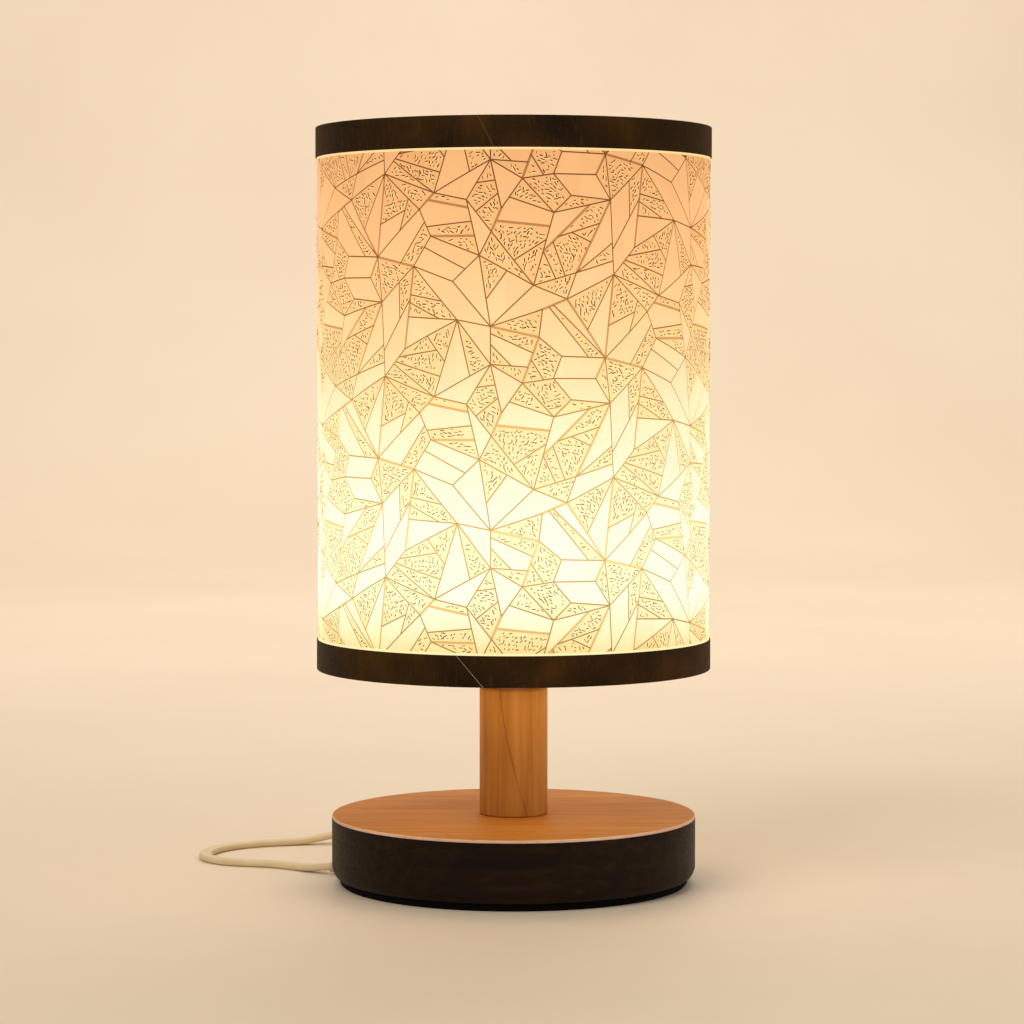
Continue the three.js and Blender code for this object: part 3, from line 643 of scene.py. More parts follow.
def coil_points():
    """In on the lower layer and out on the upper one, each turn a cord's thickness from the last."""
    points = []
    total = round((COIL_TURNS * 2 + COIL_EXTRA) * POINTS_PER_TURN)
    for index in range(1, total):
        turn = index / POINTS_PER_TURN
        depth = turn if turn < COIL_TURNS else max(2 * COIL_TURNS - turn, 0)
        radius = COIL_RADIUS - CORD_THICKNESS / MM * depth
        angle = math.radians(-90) + 2 * math.pi * turn
        climb = ease(turn, COIL_TURNS - 0.25, COIL_TURNS + 0.25)
        height = COIL_HEIGHTS[0] + (COIL_HEIGHTS[1] - COIL_HEIGHTS[0]) * climb
        points.append((COIL_CENTRE[0] + radius * math.cos(angle),
                       COIL_CENTRE[1] + radius * math.sin(angle), height))
    return points


def flat_section(width, thickness):
    """The figure-of-eight outline of a flat twin cord."""
    half = thickness / 2
    centre = width / 2 - half
    right = arc(half, -130, 130, 10, (centre, 0))
    left = [(-x, -y) for x, y in right]
    return right + left


def add_cord(material):
    """The free cord: out of the grommet, over the table, through the switch, round the coil, to the plug."""
    low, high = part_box("strain_relief")
    exit_radius = max(abs(low.x), abs(high.x)) / abs(EXIT_WAY.x)
    inside_end = EXIT_WAY * (exit_radius - 8 * MM) + EXIT_RISE
    flat, coil, tail = ([Vector(point) * MM for point in points] for points in (
        CORD_RUN + SWITCH_ENDS + CORD_LINK, coil_points(), CORD_TAIL + [BOOT_END]))
    path = smooth_path([inside_end] + flat + coil + tail, PATH_STEP)
    # The cord stands on edge in the coil and lies flat elsewhere; it turns over near each end of the coil.
    travelled = [0.0]
    for a, b in zip(path, path[1:]):
        travelled.append(travelled[-1] + (b - a).length)
    turns = (Vector(CORD_LINK[0]) * MM, coil[2], coil[-3], tail[-2])
    on_from, on_to, off_from, off_to = (travelled[nearest(path, spot)] for spot in turns)
    twist = [math.pi / 2 * (ease(along, on_from, on_to) - ease(along, off_from, off_to))
             for along in travelled]
    cord = swept("cord_lead", path, flat_section(CORD_WIDTH, CORD_THICKNESS), [material], twist)
    piece(cord, "stand", "cord_cream", "cord_run", "cord_link", "cord_tail", "cord_coil")
    return cord, path, EXIT_WAY * exit_radius + EXIT_RISE


def nearest(path, spot):
    return min(range(len(path)), key=lambda index: (path[index] - spot).length)


def ease(value, low, high):
    t = min(max((value - low) / (high - low), 0), 1)
    return t * t * (3 - 2 * t)


def add_inner_cord(material):
    """From the grommet, under the base, and up through the threaded tube."""
    low = bottom_of("threaded_tube") - 3.6 * MM
    level = EXIT_RISE.z
    reach = radius_of("base_body") + RELIEF_PROUD
    points = [
        (reach - 8 * MM, level), (reach - RELIEF_LENGTH, level), (RECESS_RADIUS + 16 * MM, level),
        (RECESS_RADIUS + 1 * MM, level + 1.1 * MM), (RECESS_RADIUS - 8 * MM, low - 1 * MM), (7 * MM, low),
        (2.2 * MM, low + 1.9 * MM), (0.4 * MM, low + 5.4 * MM), (0, low + 12 * MM),
        (0, low + 50 * MM), (0, top_of("threaded_tube")),
    ]
    path = smooth_path([EXIT_WAY * along + UP * height for along, height in points], 2 * MM)
    section = flat_section(CORD_WIDTH, CORD_THICKNESS)
    made = swept("cord_inside", path, section, [material], side=EXIT_WAY.cross(UP))
    piece(made, "stand", "cord_cream", "inner_cord")


# ---- Mosaic sheet --------------------------------------------------------------------------------

TILE_WIDTH = 88 * MM
TILE_HEIGHT = 73 * MM
POINTS_IN_TILE = 27
POINT_SPACING = 10.2 * MM
SPACING_SPREAD = (0.8, 1.2)
MOST_TRIES = 20000
SHEET_RADIUS = radius_of("shade_sheet")
SHEET_INNER = SHEET_RADIUS - 1 * MM
GROOVE_DEPTH = 0.25 * MM
STRIP = 3 * MM
MERGED_SHARE = 0.5
MOST_CORNERS = 5
LARGEST_CELL = 460 * SQUARE_MM
SPLIT_AREAS = (70 * SQUARE_MM, 240 * SQUARE_MM)
SPLIT_FROM_CORNER = 0.3
SPLIT_TRIES = 8
SMALLEST_PLATE = 1.5 * SQUARE_MM
# A cell's chance of a texture rises as its area goes from the first of these to the second.
TEXTURED_AREAS = (155 * SQUARE_MM, 45 * SQUARE_MM)
LEAST_TEXTURED, MOST_TEXTURED = 0.03, 0.88
NARROWEST_CELL = 4.2 * MM
THIN_LINE = 0.42 * MM
WIDE_LINE = 0.85 * MM
LINE_PLAY = 0.04 * MM
LINE_SUNK = 0.12 * MM
PLATE_ROOT = SHEET_RADIUS - GROOVE_DEPTH - 0.06 * MM
STROKE_ROOT = SHEET_RADIUS - 0.05 * MM
STROKE_TOP = SHEET_RADIUS + 0.1 * MM
GLEAM_TOP = SHEET_RADIUS + 0.07 * MM
STROKES_ACROSS = 1.12 * MM
STROKES_ALONG = 1.9 * MM
STROKES_LEFT_OUT = 0.12
STROKE_BEND = 0.14 / MM
STROKE_HALF_LENGTHS = (0.35, 0.95)
STROKE_HALF_WIDTHS = (0.2, 0.32)
STROKE_MARGIN = 0.25 * MM
GLEAM_SHARE = 0.8
GLEAM_ASIDE = 0.44 * MM
GLEAM_HALF_WIDTH = 0.15 * MM
GLEAM_MARGIN = 0.3 * MM
HALF_ROUND = math.pi * SHEET_RADIUS - 0.4 * MM
PLAIN_EDGE = 0.8 * MM
PATTERN_MARGIN = 45 * MM
PATTERN_SEED = 20
SHARD, TEXTURED, GROOVE, LINE, STROKE, GLEAM, INNER = range(7)


def wrapped(along, height, radius):
    """A place on the drum: along is measured round it from the front, towards +X."""
    angle = along / SHEET_RADIUS
    return (radius * math.sin(angle), -radius * math.cos(angle), height)


def tile_points(rng):
    """Scattered points of one tile, kept apart from each other and from those of its neighbours."""
    kept = []
    tries = 0
    while len(kept) < POINTS_IN_TILE and tries < MOST_TRIES:
        tries += 1
        spot = Vector((rng.random() * TILE_WIDTH, rng.random() * TILE_HEIGHT))
        copies = [other + shift(i, j) for other in kept for i in (-1, 0, 1) for j in (-2, -1, 0, 1, 2)]
        spacing = POINT_SPACING * SPACING_SPREAD[tries % 3 == 0]
        if all((spot - other).length > spacing for other in copies):
            kept.append(spot)
    return kept


def shift(column, row):
    """Each column of tiles is dropped by half a tile from the last."""
    return Vector((column * TILE_WIDTH, row * TILE_HEIGHT + (column % 2) * TILE_HEIGHT / 2))


def signed_area(loop):
    return 0.5 * sum(a.x * b.y - b.x * a.y for a, b in sides_of(loop))


def is_convex(loop):
    for a, b, c in zip(loop, loop[1:] + loop[:1], loop[2:] + loop[:2]):
        first, second = (b - a).normalized(), (c - b).normalized()
        if first.cross(second) < 0.05:
            return False
    return True


def mosaic_cells(rng, low, high):
    """Convex cells over the unrolled sheet, as [corner, line width] sides, and the lines between them."""
    base = tile_points(rng)
    columns = math.ceil((HALF_ROUND + 25 * MM) / TILE_WIDTH)
    spots, names = [], []
    for column in range(-columns, columns + 1):
        for row in range(-4, 5):
            for kind, spot in enumerate(base):
                place = spot + shift(column, row) + Vector((0, (low + high) / 2))
                if (abs(place.x) < HALF_ROUND + PATTERN_MARGIN
                        and low - PATTERN_MARGIN < place.y < high + PATTERN_MARGIN):
                    spots.append(place)
                    names.append(kind)
    _, _, triangles, origins, _, _ = delaunay_2d_cdt(spots, [], [], 0, 1e-9)
    where = [origin[0] for origin in origins]
    loops, sides = {}, {}
    for index, triangle in enumerate(triangles):
        loop = [where[corner] for corner in triangle]
        if signed_area([spots[corner] for corner in loop]) < 0:
            loop.reverse()
        loops[index] = loop
        for a, b in sides_of(loop):
            sides.setdefault(frozenset((a, b)), []).append(index)
    merge(loops, sides, spots, names, rng)
    cells, lines = [], {}
    for loop in loops.values():
        first = loop.index(min(loop, key=lambda corner: names[corner]))
        loop = loop[first:] + loop[:first]
        outline = []
        for a, b in sides_of(loop):
            width = line_width(random.Random(repr(side_key((a, b), spots, names))))
            outline.append((spots[a], width))
            lines[frozenset((a, b))] = (spots[a], spots[b], width)
        own = random.Random(repr([names[corner] for corner in loop]))
        cuts = []
        parts = shattered(outline, own, cuts)
        for index, cut in enumerate(cuts):
            lines[(tuple(loop), index)] = cut
        cells += [(part, own.random(), own.random()) for part in parts]
    return cells, list(lines.values())


def merge(loops, sides, spots, names, rng):
    """Joins some neighbouring triangles into larger convex cells, alike in every repeat."""
    owner = {index: index for index in loops}

    def find(index):
        while owner[index] != index:
            index = owner[index]
        return index

    classes = {}
    for side in sides:
        classes.setdefault(side_key(side, spots, names), []).append(side)
    order = sorted(classes)
    rng.shuffle(order)
    for key in order[:round(len(order) * MERGED_SHARE)]:
        for side in sorted(classes[key], key=sorted):
            if len(sides[side]) < 2:
                continue
            first, second = find(sides[side][0]), find(sides[side][1])
            union = None if first == second else joined_loop(loops[first], loops[second], side)
            if union is None or len(union) > MOST_CORNERS:
                continue
            outline = [spots[corner] for corner in union]
            if is_convex(outline) and signed_area(outline) < LARGEST_CELL:
                loops[first] = union
                owner[second] = first
                del loops[second]


def line_width(rng):
    return rng.choice((THIN_LINE, THIN_LINE, THIN_LINE, WIDE_LINE))


def shattered(outline, rng, cuts):
    """Splits a cell again and again, from a corner or from side to side, and notes each cut."""
    area = signed_area([corner for corner, _ in outline])
    if area < rng.uniform(*SPLIT_AREAS):
        return [outline]
    for _ in range(SPLIT_TRIES):
        width = line_width(rng)
        count = len(outline)
        start = rng.randrange(count)
        turned_round = outline[start:] + outline[:start]
        if rng.random() < SPLIT_FROM_CORNER:
            side = rng.randrange(1, count - 1)
            head, spot = turned_round[0][0], between(turned_round, side, rng)
            first = turned_round[:side + 1] + [(spot, width)]
            second = [(head, width), (spot, turned_round[side][1])] + turned_round[side + 1:]
        else:
            side = rng.randrange(1, count)
            head, spot = between(turned_round, 0, rng), between(turned_round, side, rng)
            first = [(head, turned_round[0][1])] + turned_round[1:side + 1] + [(spot, width)]
            second = [(spot, turned_round[side][1])] + turned_round[side + 1:] + [
                turned_round[0], (head, width)]
        if min(thickness(first), thickness(second)) > NARROWEST_CELL:
            cuts.append((head, spot, width))
            return shattered(first, rng, cuts) + shattered(second, rng, cuts)
    return [outline]


def between(outline, side, rng):
    """A point near the middle of a side."""
    a, b = outline[side][0], outline[(side + 1) % len(outline)][0]
    return a + (b - a) * rng.uniform(0.3, 0.7)


def thickness(outline):
    loop = [corner for corner, _ in outline]
    around = sum((a - b).length for a, b in sides_of(loop))
    return 4 * signed_area(loop) / around


def side_key(side, spots, names):
    """The same for every copy of a side in the repeat."""
    a, b = sorted(side, key=lambda corner: names[corner])
    if names[a] == names[b] and (spots[a] - spots[b]).x > 0:
        a, b = b, a
    step = spots[b] - spots[a]
    return (names[a], names[b], round(step.x / MM), round(step.y / MM))


def joined_loop(first, second, side):
    """The outline of two loops that share one side, or None where they share more."""
    if len(set(first) & set(second)) > 2:
        return None
    a, b = side
    start = first.index(a)
    if first[(start + 1) % len(first)] != b:
        a, b = b, a
        start = first.index(a)
    if first[(start + 1) % len(first)] != b:
        return None
    begin = second.index(b)
    if second[(begin + 1) % len(second)] != a:
        return None
    opened = first[start + 1:] + first[:start + 1]
    inner = [second[(begin + 2 + index) % len(second)] for index in range(len(second) - 2)]
    return opened + inner


def clipped(loop, point, normal):
    """The part of a convex loop on the normal's side of a line."""
    result = []
    for a, b in sides_of(loop):
        da, db = (a - point).dot(normal), (b - point).dot(normal)
        if da >= 0:
            result.append(a)
        if (da > 0 > db) or (da < 0 < db):
            result.append(a + (b - a) * (da / (da - db)))
    return result


class Relief:
    """Collects closed raised plates on the drum."""

    def __init__(self):
        self.corners, self.faces, self.slots = [], [], []

    def plate(self, loop, bottom, top, slot):
        """A plate with a convex outline, cut into upright strips so that it follows the drum."""
        spots = {}

        def corner(spot, radius):
            key = (round(spot.x / MM, 5), round(spot.y / MM, 5), radius)
            if key not in spots:
                spots[key] = len(self.corners)
                self.corners.append(wrapped(spot.x, spot.y, radius))
            return spots[key]

        left, right = min(p.x for p in loop), max(p.x for p in loop)
        for strip in range(math.floor(left / STRIP), math.floor(right / STRIP) + 1):
            start, end = strip * STRIP, (strip + 1) * STRIP
            part = clipped(loop, Vector((start, 0)), Vector((1, 0)))
            part = clipped(part, Vector((end, 0)), Vector((-1, 0)))
            part = [p for p, q in sides_of(part) if (p - q).length > 1e-6]
            if len(part) < 3:
                continue
            self.face([corner(p, top) for p in part], slot)
            self.face([corner(p, bottom) for p in reversed(part)], slot)
            for p, q in sides_of(part):
                cut = any(abs(p.x - x) < 1e-8 and abs(q.x - x) < 1e-8 for x in (start, end))
                if not cut or not left + 1e-7 < p.x < right - 1e-7:
                    self.face([corner(p, bottom), corner(q, bottom), corner(q, top), corner(p, top)], slot)

    def face(self, loop, slot):
        loop = list(dict.fromkeys(loop))
        if len(loop) > 2:
            self.faces.append(loop)
            self.slots.append(slot)

    def ridge(self, start, end, half, bottom, top, slot):
        """A short raised stroke with a sharp crest."""
        along = (end - start).normalized()
        side = Vector((-along.y, along.x)) * half
        tip = along * half
        outline = [start - side, end - side, end + side, start + side]
        base = len(self.corners)
        self.corners += [wrapped(p.x, p.y, bottom) for p in outline]
        self.corners += [wrapped(p.x, p.y, top) for p in (start + tip, end - tip)]
        for face in ((0, 3, 2, 1), (0, 1, 5, 4), (2, 3, 4, 5), (1, 2, 5), (3, 0, 4)):
            self.faces.append([base + corner for corner in face])
            self.slots.append(slot)


def inside(loop, spot, margin):
    for a, b in sides_of(loop):
        along = (b - a).normalized()
        if along.cross(spot - a) < margin:
            return False
    return True


def fill_with_strokes(relief, loop, rng, heading):
    """Short dark strokes, each with a pale painted highlight stroke beside it, that bend and wander over a
    cell.
    """
    bend = rng.uniform(-STROKE_BEND, STROKE_BEND)
    low = Vector((min(p.x for p in loop), min(p.y for p in loop)))
    high = Vector((max(p.x for p in loop), max(p.y for p in loop)))
    centre, reach = (low + high) / 2, (high - low).length / 2
    rows, columns = int(reach / STROKES_ACROSS) + 1, int(reach / STROKES_ALONG) + 1
    turn = Matrix.Rotation(heading, 2)
    for row in range(-rows, rows + 1):
        for column in range(-columns, columns + 1):
            if rng.random() < STROKES_LEFT_OUT:
                continue
            u = (column + 0.5 * (row % 2) + rng.uniform(-0.25, 0.25)) * STROKES_ALONG
            v = (row + rng.uniform(-0.22, 0.22)) * STROKES_ACROSS
            angle = heading + bend * u * 1.2 + rng.uniform(-0.8, 0.8)
            middle = centre + turn @ Vector((u, v))
            step = Vector((math.cos(angle), math.sin(angle))) * rng.uniform(*STROKE_HALF_LENGTHS) * MM
            start, end = middle - step, middle + step
            if not (inside(loop, start, STROKE_MARGIN) and inside(loop, end, STROKE_MARGIN)):
                continue
            half = rng.uniform(*STROKE_HALF_WIDTHS) * MM
            relief.ridge(start, end, half, STROKE_ROOT, STROKE_TOP, STROKE)
            # Painted highlight: a pale stroke on the lower side of each dark stroke.
            beside = Vector((step.y, -step.x)).normalized() * GLEAM_ASIDE
            if beside.y > 0:
                beside = -beside
            if rng.random() < GLEAM_SHARE and inside(loop, middle + beside, GLEAM_MARGIN):
                relief.ridge(start + beside, end + beside, GLEAM_HALF_WIDTH, STROKE_ROOT, GLEAM_TOP, GLEAM)


def add_sheet(shards):
    """The rolled sheet: a closed drum with the mosaic raised on its outside."""
    rng = random.Random(PATTERN_SEED)
    low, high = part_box("shade_sheet")
    relief = Relief()
    z_low, z_high = SHEET_LOW + PLAIN_EDGE, SHEET_HIGH - PLAIN_EDGE
    cells, lines = mosaic_cells(rng, z_low, z_high)
    frame_sides = [
        (Vector((-HALF_ROUND, 0)), Vector((1, 0))), (Vector((HALF_ROUND, 0)), Vector((-1, 0))),
        (Vector((0, z_low)), Vector((0, 1))), (Vector((0, z_high)), Vector((0, -1))),
    ]
    for outline, look, heading in cells:
        loop = [corner for corner, _ in outline]
        cuts = []
        for (a, b), (_, width) in zip(sides_of(loop), outline):
            inward = Vector((-(b - a).y, (b - a).x)).normalized()
            cuts.append((a + inward * (width / 2 + LINE_PLAY), inward))
        shape = loop
        for point, normal in cuts + frame_sides:
            shape = clipped(shape, point, normal)
        if len(shape) < 3 or signed_area(shape) < SMALLEST_PLATE:
            continue
        chance = ease(-signed_area(loop), -TEXTURED_AREAS[0], -TEXTURED_AREAS[1])
        textured = look < LEAST_TEXTURED + (MOST_TEXTURED - LEAST_TEXTURED) * chance
        relief.plate(shape, PLATE_ROOT, SHEET_RADIUS, TEXTURED if textured else SHARD)
        if textured:
            fill_with_strokes(relief, shape, rng, heading * math.pi)
    for a, b, width in lines:
        half = Vector((-(b - a).y, (b - a).x)).normalized() * (width / 2)
        bar = [a - half, b - half, b + half, a + half]
        for point, normal in frame_sides:
            bar = clipped(bar, point, normal)
        if width == THIN_LINE and len(bar) >= 3:
            relief.plate(bar, PLATE_ROOT, SHEET_RADIUS - LINE_SUNK, LINE)
    for edge_low, edge_high in ((SHEET_LOW - 2 * MM, z_low), (z_high, SHEET_HIGH + 2 * MM)):
        border = [Vector((side * HALF_ROUND, level))
                  for side, level in ((-1, edge_low), (1, edge_low), (1, edge_high), (-1, edge_high))]
        relief.plate(border, PLATE_ROOT, SHEET_RADIUS, GLEAM)
    segments = 192
    base = len(relief.corners)
    floor = SHEET_RADIUS - GROOVE_DEPTH
    section = [(SHEET_INNER, low.z), (floor, low.z), (floor, high.z), (SHEET_INNER, high.z)]
    for radius, height in section:
        for index in range(segments):
            relief.corners.append(wrapped(2 * math.pi * SHEET_RADIUS * index / segments, height, radius))
    for row in range(4):
        for index in range(segments):
            after = (index + 1) % segments
            first, second = base + row * segments, base + (row + 1) % 4 * segments
            relief.faces.append([first + index, first + after, second + after, second + index])
            relief.slots.append(GROOVE if row == 1 else INNER)
    made = mesh_object("mosaic_sheet", relief.corners, relief.faces, shards, relief.slots)
    outward(made.data)
    smoothed(made.data)
    piece(made, "shade", "mosaic_sheet", "shade_sheet")


# ---- Bands, wires and fitter ---------------------------------------------------------------------

def add_band(name, node, upper, lap, lean, materials):
    """A band with its slanting glued lap: one end lies over the other and thins out behind the step."""
    low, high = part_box(node)
    outer, inner = high.x, high.x - BAND_TURN_IN
    width = high.z - low.z
    edge, way = (high.z, -1) if upper else (low.z, 1)
    face = [(outer, share * width) for share in (0, 0.2, 0.4, 0.6, 0.8, 1)]
    outline = eased([(inner, 0)] + face + [(outer - BAND_WALL, width), (outer - BAND_WALL, BAND_WALL),
                                           (inner, BAND_WALL)], 0.35 * MM)
    step = 0.32 * MM / outer
    angles = [lap + step + (2 * math.pi - step) * index / 300 for index in range(300)] + [lap]
    rows = []
    for angle in angles:
        past = (angle - lap) % (2 * math.pi)
        raised = 1 - ease(past, step, 0.3) if past >= step * 0.99 else 0
        wobble = 0.05 * MM * math.sin(angle * 7) * math.sin(angle * 3 + 1)
        row = []
        for radius, height in outline:
            spread = radius + (0.28 * MM * raised + wobble if radius > outer - 0.2 * MM else 0)
            turn = angle + lean * (height / width - 0.5) * way
            row.append((spread * math.sin(turn), -spread * math.cos(turn), edge + way * height))
        rows.append(row)
    on_face = [radius > outer - 0.1 * MM for radius, _ in outline]
    slots = [0] * len(outline) * (len(angles) - 1)
    slots += [int(here and after) for here, after in sides_of(on_face)]
    piece(lofted(name, rows, materials, joined=True, slots=slots), "shade", "dark_band", node)


def add_wire_ring(name, node, material):
    low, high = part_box(node)
    middle = (low.z + high.z) / 2
    profile = [(high.x - WIRE_RADIUS + x, middle + y) for x, y in circle(WIRE_RADIUS, 20)]
    made = turned(name, profile, [material], 160, round_by=0, sharp=60)
    piece(made, "shade", "steel_wire", node)


def add_fitter(material):
    low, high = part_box("fitter_hub")
    bore = radius_of("holder_barrel") - FLANGE_WIDTH + 0.6 * MM
    profile = [(bore, low.z), (high.x, low.z), (high.x, high.z), (bore, high.z)]
    piece(turned("fitter_hub_pressed", profile, [material], 96, round_by=0.4 * MM), "shade", "steel_wire",
          "fitter_hub")
    ring_low, ring_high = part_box("bottom_ring")
    end = ring_high.x - 3.5 * MM
    low_end = (ring_low.z + ring_high.z) / 2
    level = (low.z + high.z) / 2
    for index in range(3):
        angle = math.radians(90 + 120 * index)
        way = Vector((math.cos(angle), math.sin(angle), 0))
        start = high.x - 1.2 * MM
        bend = end - 13 * MM
        points = [(start, level), (bend - 8 * MM, level), (bend, level - 0.8 * MM),
                  (end - 4 * MM, low_end + 0.4 * MM), (end, low_end)]
        path = smooth_path([way * along + UP * height for along, height in points], 1 * MM)
        made = swept(f"fitter_wire_{index + 1}", path, circle(ARM_RADIUS, 14), [material])
        piece(made, "shade", "steel_wire", f"fitter_arm_{index + 1}")


def add_shade_ring(material):
    """The ring nut: scalloped grip, eased rims and a plain bore."""
    low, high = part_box("shade_ring_nut")
    bore, outer = NUT_BORE, high.x
    scallops, points = 20, 200
    outline = [(bore + 0.3 * MM, low.z, 0), (outer - 0.5 * MM, low.z, 0.6), (outer, low.z + 0.5 * MM, 1),
               (outer, high.z - 0.8 * MM, 1), (outer - 0.8 * MM, high.z, 0.6), (bore + 0.3 * MM, high.z, 0),
               (bore, high.z - 0.4 * MM, 0), (bore, low.z + 0.4 * MM, 0)]
    rows = []
    for radius, height, share in outline:
        row = []
        for index in range(points):
            angle = 2 * math.pi * index / points
            dipped = radius - 0.8 * MM * share * (0.5 - 0.5 * math.cos(angle * scallops)) ** 2
            row.append((dipped * math.cos(angle), dipped * math.sin(angle), height))
        rows.append(row)
    made = lofted("shade_ring_scalloped", rows, [material], joined=True)
    piece(made, "shade_ring", "holder_plastic", "shade_ring_nut")


# ---- Base and post -------------------------------------------------------------------------------

def groove_cut(made, top):
    """The groove that the cord leaves by, cut from the recess to the rim."""
    half, start = 5.7 * MM, RECESS_RADIUS - 4 * MM
    carved(made, (start, -half, -1 * MM), (radius_of("base_body") + 4 * MM, half, top), EXIT_ANGLE)


def add_base(stained, tops, felt):
    outer = radius_of("base_body")
    low, high = bottom_of("base_body"), top_of("base_body")
    step = high + 0.35 * MM
    edge_radius, sweep = 6 * MM, 48
    curve = arc(edge_radius, -sweep, 0, 12,
                (outer - edge_radius, low + edge_radius * math.sin(math.radians(sweep))))
    profile = [(RECESS_RADIUS, low)] + curve + [
        (outer, high - 4 * MM), (outer, step), (outer - 2 * MM, step), (outer - 2 * MM, high),
        (TUBE_HOLE, high), (TUBE_HOLE, RECESS_TOP), (RECESS_RADIUS, RECESS_TOP)]
    body = turned("base_turned", profile, [stained], 160, round_by=0.3 * MM, sharp=30)
    groove_cut(body, 5.9 * MM)
    piece(body, "stand", "dark_wood", "base_body")
    top, edge, inset = top_of("base_top_disc"), outer - 0.1 * MM, outer - 2.2 * MM
    disc = [(TUBE_HOLE, high), (inset, high), (inset, step), (edge, step), (edge, top), (TUBE_HOLE, top)]
    # The veneer's rim face takes the pale painted-highlight finish.
    veneer = turned("base_veneer", disc, tops, 160, round_by=0.35 * MM, sharp=50,
                    slot_at=lambda radius, height: int(radius > edge - 0.3 * MM))
    piece(veneer, "stand", "light_wood", "base_top_disc")
    rim = radius_of("foot_pad")
    profile = [(0, 0), (rim - 0.8 * MM, 0), (rim, 0.9 * MM), (rim, low), (0, low)]
    pad = turned("foot_felt", profile, [felt], 128)
    groove_cut(pad, low + 1 * MM)
    piece(pad, "stand", "foot", "foot_pad")


def add_post(material):
    low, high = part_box("post")
    outer = high.x
    profile = [(TUBE_HOLE, low.z), (outer - 0.4 * MM, low.z), (outer, low.z + 0.4 * MM),
               (outer, high.z - 1 * MM), (outer - 1 * MM, high.z), (TUBE_HOLE, high.z)]
    piece(turned("post_turned", profile, [material], 96, round_by=0.5 * MM), "stand", "light_wood", "post")


# ---- Lamp holder and bulb ------------------------------------------------------------------------

def add_holder(plastic):
    low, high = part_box("holder_cap")
    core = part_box("holder_core")
    core_radius = core[1].x
    outer, floor = high.x, low.z + 3 * MM
    profile = [(CAP_HOLE, low.z), (outer - 2 * MM, low.z), (outer, low.z + 2 * MM), (outer, high.z),
               (core_radius + 0.3 * MM, high.z), (core_radius + 0.3 * MM, core[0].z),
               (core_radius - 2.5 * MM, core[0].z), (core_radius - 2.5 * MM, floor), (CAP_HOLE, floor)]
    piece(turned("holder_cap_moulded", profile, [plastic], 96, round_by=0.7 * MM), "stand",
          "holder_plastic", "holder_cap")
    low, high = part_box("holder_barrel")
    barrel = high.x - FLANGE_WIDTH
    inner = barrel - 2 * MM
    seat = low.z + 3 * MM
    grooves = []
    height = seat + 3 * MM
    while height < high.z - 3 * MM:
        grooves += [(barrel, height - 0.9 * MM), (barrel - 0.45 * MM, height - 0.25 * MM),
                    (barrel - 0.45 * MM, height + 0.25 * MM), (barrel, height + 0.9 * MM)]
        height += 3 * MM
    profile = [(inner, low.z), (high.x, low.z), (high.x, seat), (barrel, seat)] + grooves + [
        (barrel, high.z - 0.8 * MM), (barrel - 0.8 * MM, high.z), (inner, high.z)]
    piece(turned("holder_barrel_threaded", profile, [plastic], 96, round_by=0.25 * MM), "stand",
          "holder_plastic", "holder_barrel")


def add_bulb(frost, plastic, steel):
    low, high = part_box("bulb_globe")
    outer, wall = high.x, 1 * MM
    dome = high.z - outer
    inner_arc = arc(outer - wall, 90, 0, 16, (0, dome))
    outer_arc = arc(outer, 0, 90, 16, (0, dome))
    inner_arc[0] = (0, inner_arc[0][1])
    outer_arc[-1] = (0, outer_arc[-1][1])
    profile = inner_arc + [(outer - 2 * MM, low.z), (outer - 1.2 * MM, low.z),
                           (outer - 0.2 * MM, low.z + 8 * MM)] + outer_arc
    piece(turned("bulb_envelope", profile, [frost], 64, round_by=0), "bulb", "bulb_frost", "bulb_globe")
    low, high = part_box("bulb_collar")
    rim = top_of("bulb_screw_cap")
    cap = radius_of("bulb_screw_cap")
    shoulder = outer - 1.2 * MM
    profile = [(8 * MM, low.z), (cap - 1.6 * MM, low.z), (cap - 1.6 * MM, rim), (cap, rim),
               (cap + 0.4 * MM, rim + 1.5 * MM), (shoulder - 1 * MM, high.z - 2.5 * MM), (shoulder, high.z),
               (8 * MM, high.z)]
    piece(turned("bulb_collar_moulded", profile, [plastic], 64), "bulb", "bulb_plastic", "bulb_collar")
    low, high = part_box("bulb_screw_cap")
    ridges = []
    height = low.z + 1.6 * MM
    while height < high.z - 2.6 * MM:
        for step in range(6):
            share = 0.5 - 0.5 * math.cos(2 * math.pi * step / 6)
            ridges.append((cap - 1 * MM + share * MM, height + 3.6 * MM * step / 6))
        height += 3.6 * MM
    profile = [(8 * MM, low.z), (cap - 2.4 * MM, low.z)] + ridges + [
        (cap - 0.6 * MM, high.z), (cap - 1.5 * MM, high.z), (cap - 1.5 * MM, low.z + 0.6 * MM),
        (8 * MM, low.z + 0.6 * MM)]
    piece(turned("bulb_cap_rolled", profile, [steel], 64, round_by=0.1 * MM), "bulb", "steel_wire",
          "bulb_screw_cap")


# ---- Pieces on the cord --------------------------------------------------------------------------

def oval_tube(name, stations, centre, way, material):
    """A closed tube of oval rings: each station is [along, half width, half height]."""
    side = way.cross(UP)
    rows = [[centre + way * along + side * wide * across + UP * high * up for across, up in circle(1, 28)]
            for along, wide, high in stations]
    return lofted(name, rows, [material])


def ribbed(start, end, wide_from, wide_to, flat, ribs):
    """Stations of a tapering boot with flexing grooves cut round its thinner part."""
    stations = []
    count = ribs * 4
    for index in range(count + 1):
        share = index / count
        wide = wide_from + (wide_to - wide_from) * share
        groove = 0.55 * MM if index % 4 in (2, 3) and 0.3 < share < 0.97 else 0
        stations.append((start + (end - start) * share, wide - groove, (wide - groove) * flat))
    return stations


def add_strain_relief(material):
    end = radius_of("base_body") + RELIEF_PROUD
    stations = ribbed(end - RELIEF_LENGTH, end, 5.4 * MM, 4.3 * MM, 0.5, 6)
    made = oval_tube("strain_relief_ribbed", stations, EXIT_RISE, EXIT_WAY, material)
    piece(made, "stand", "cord_cream", "strain_relief")


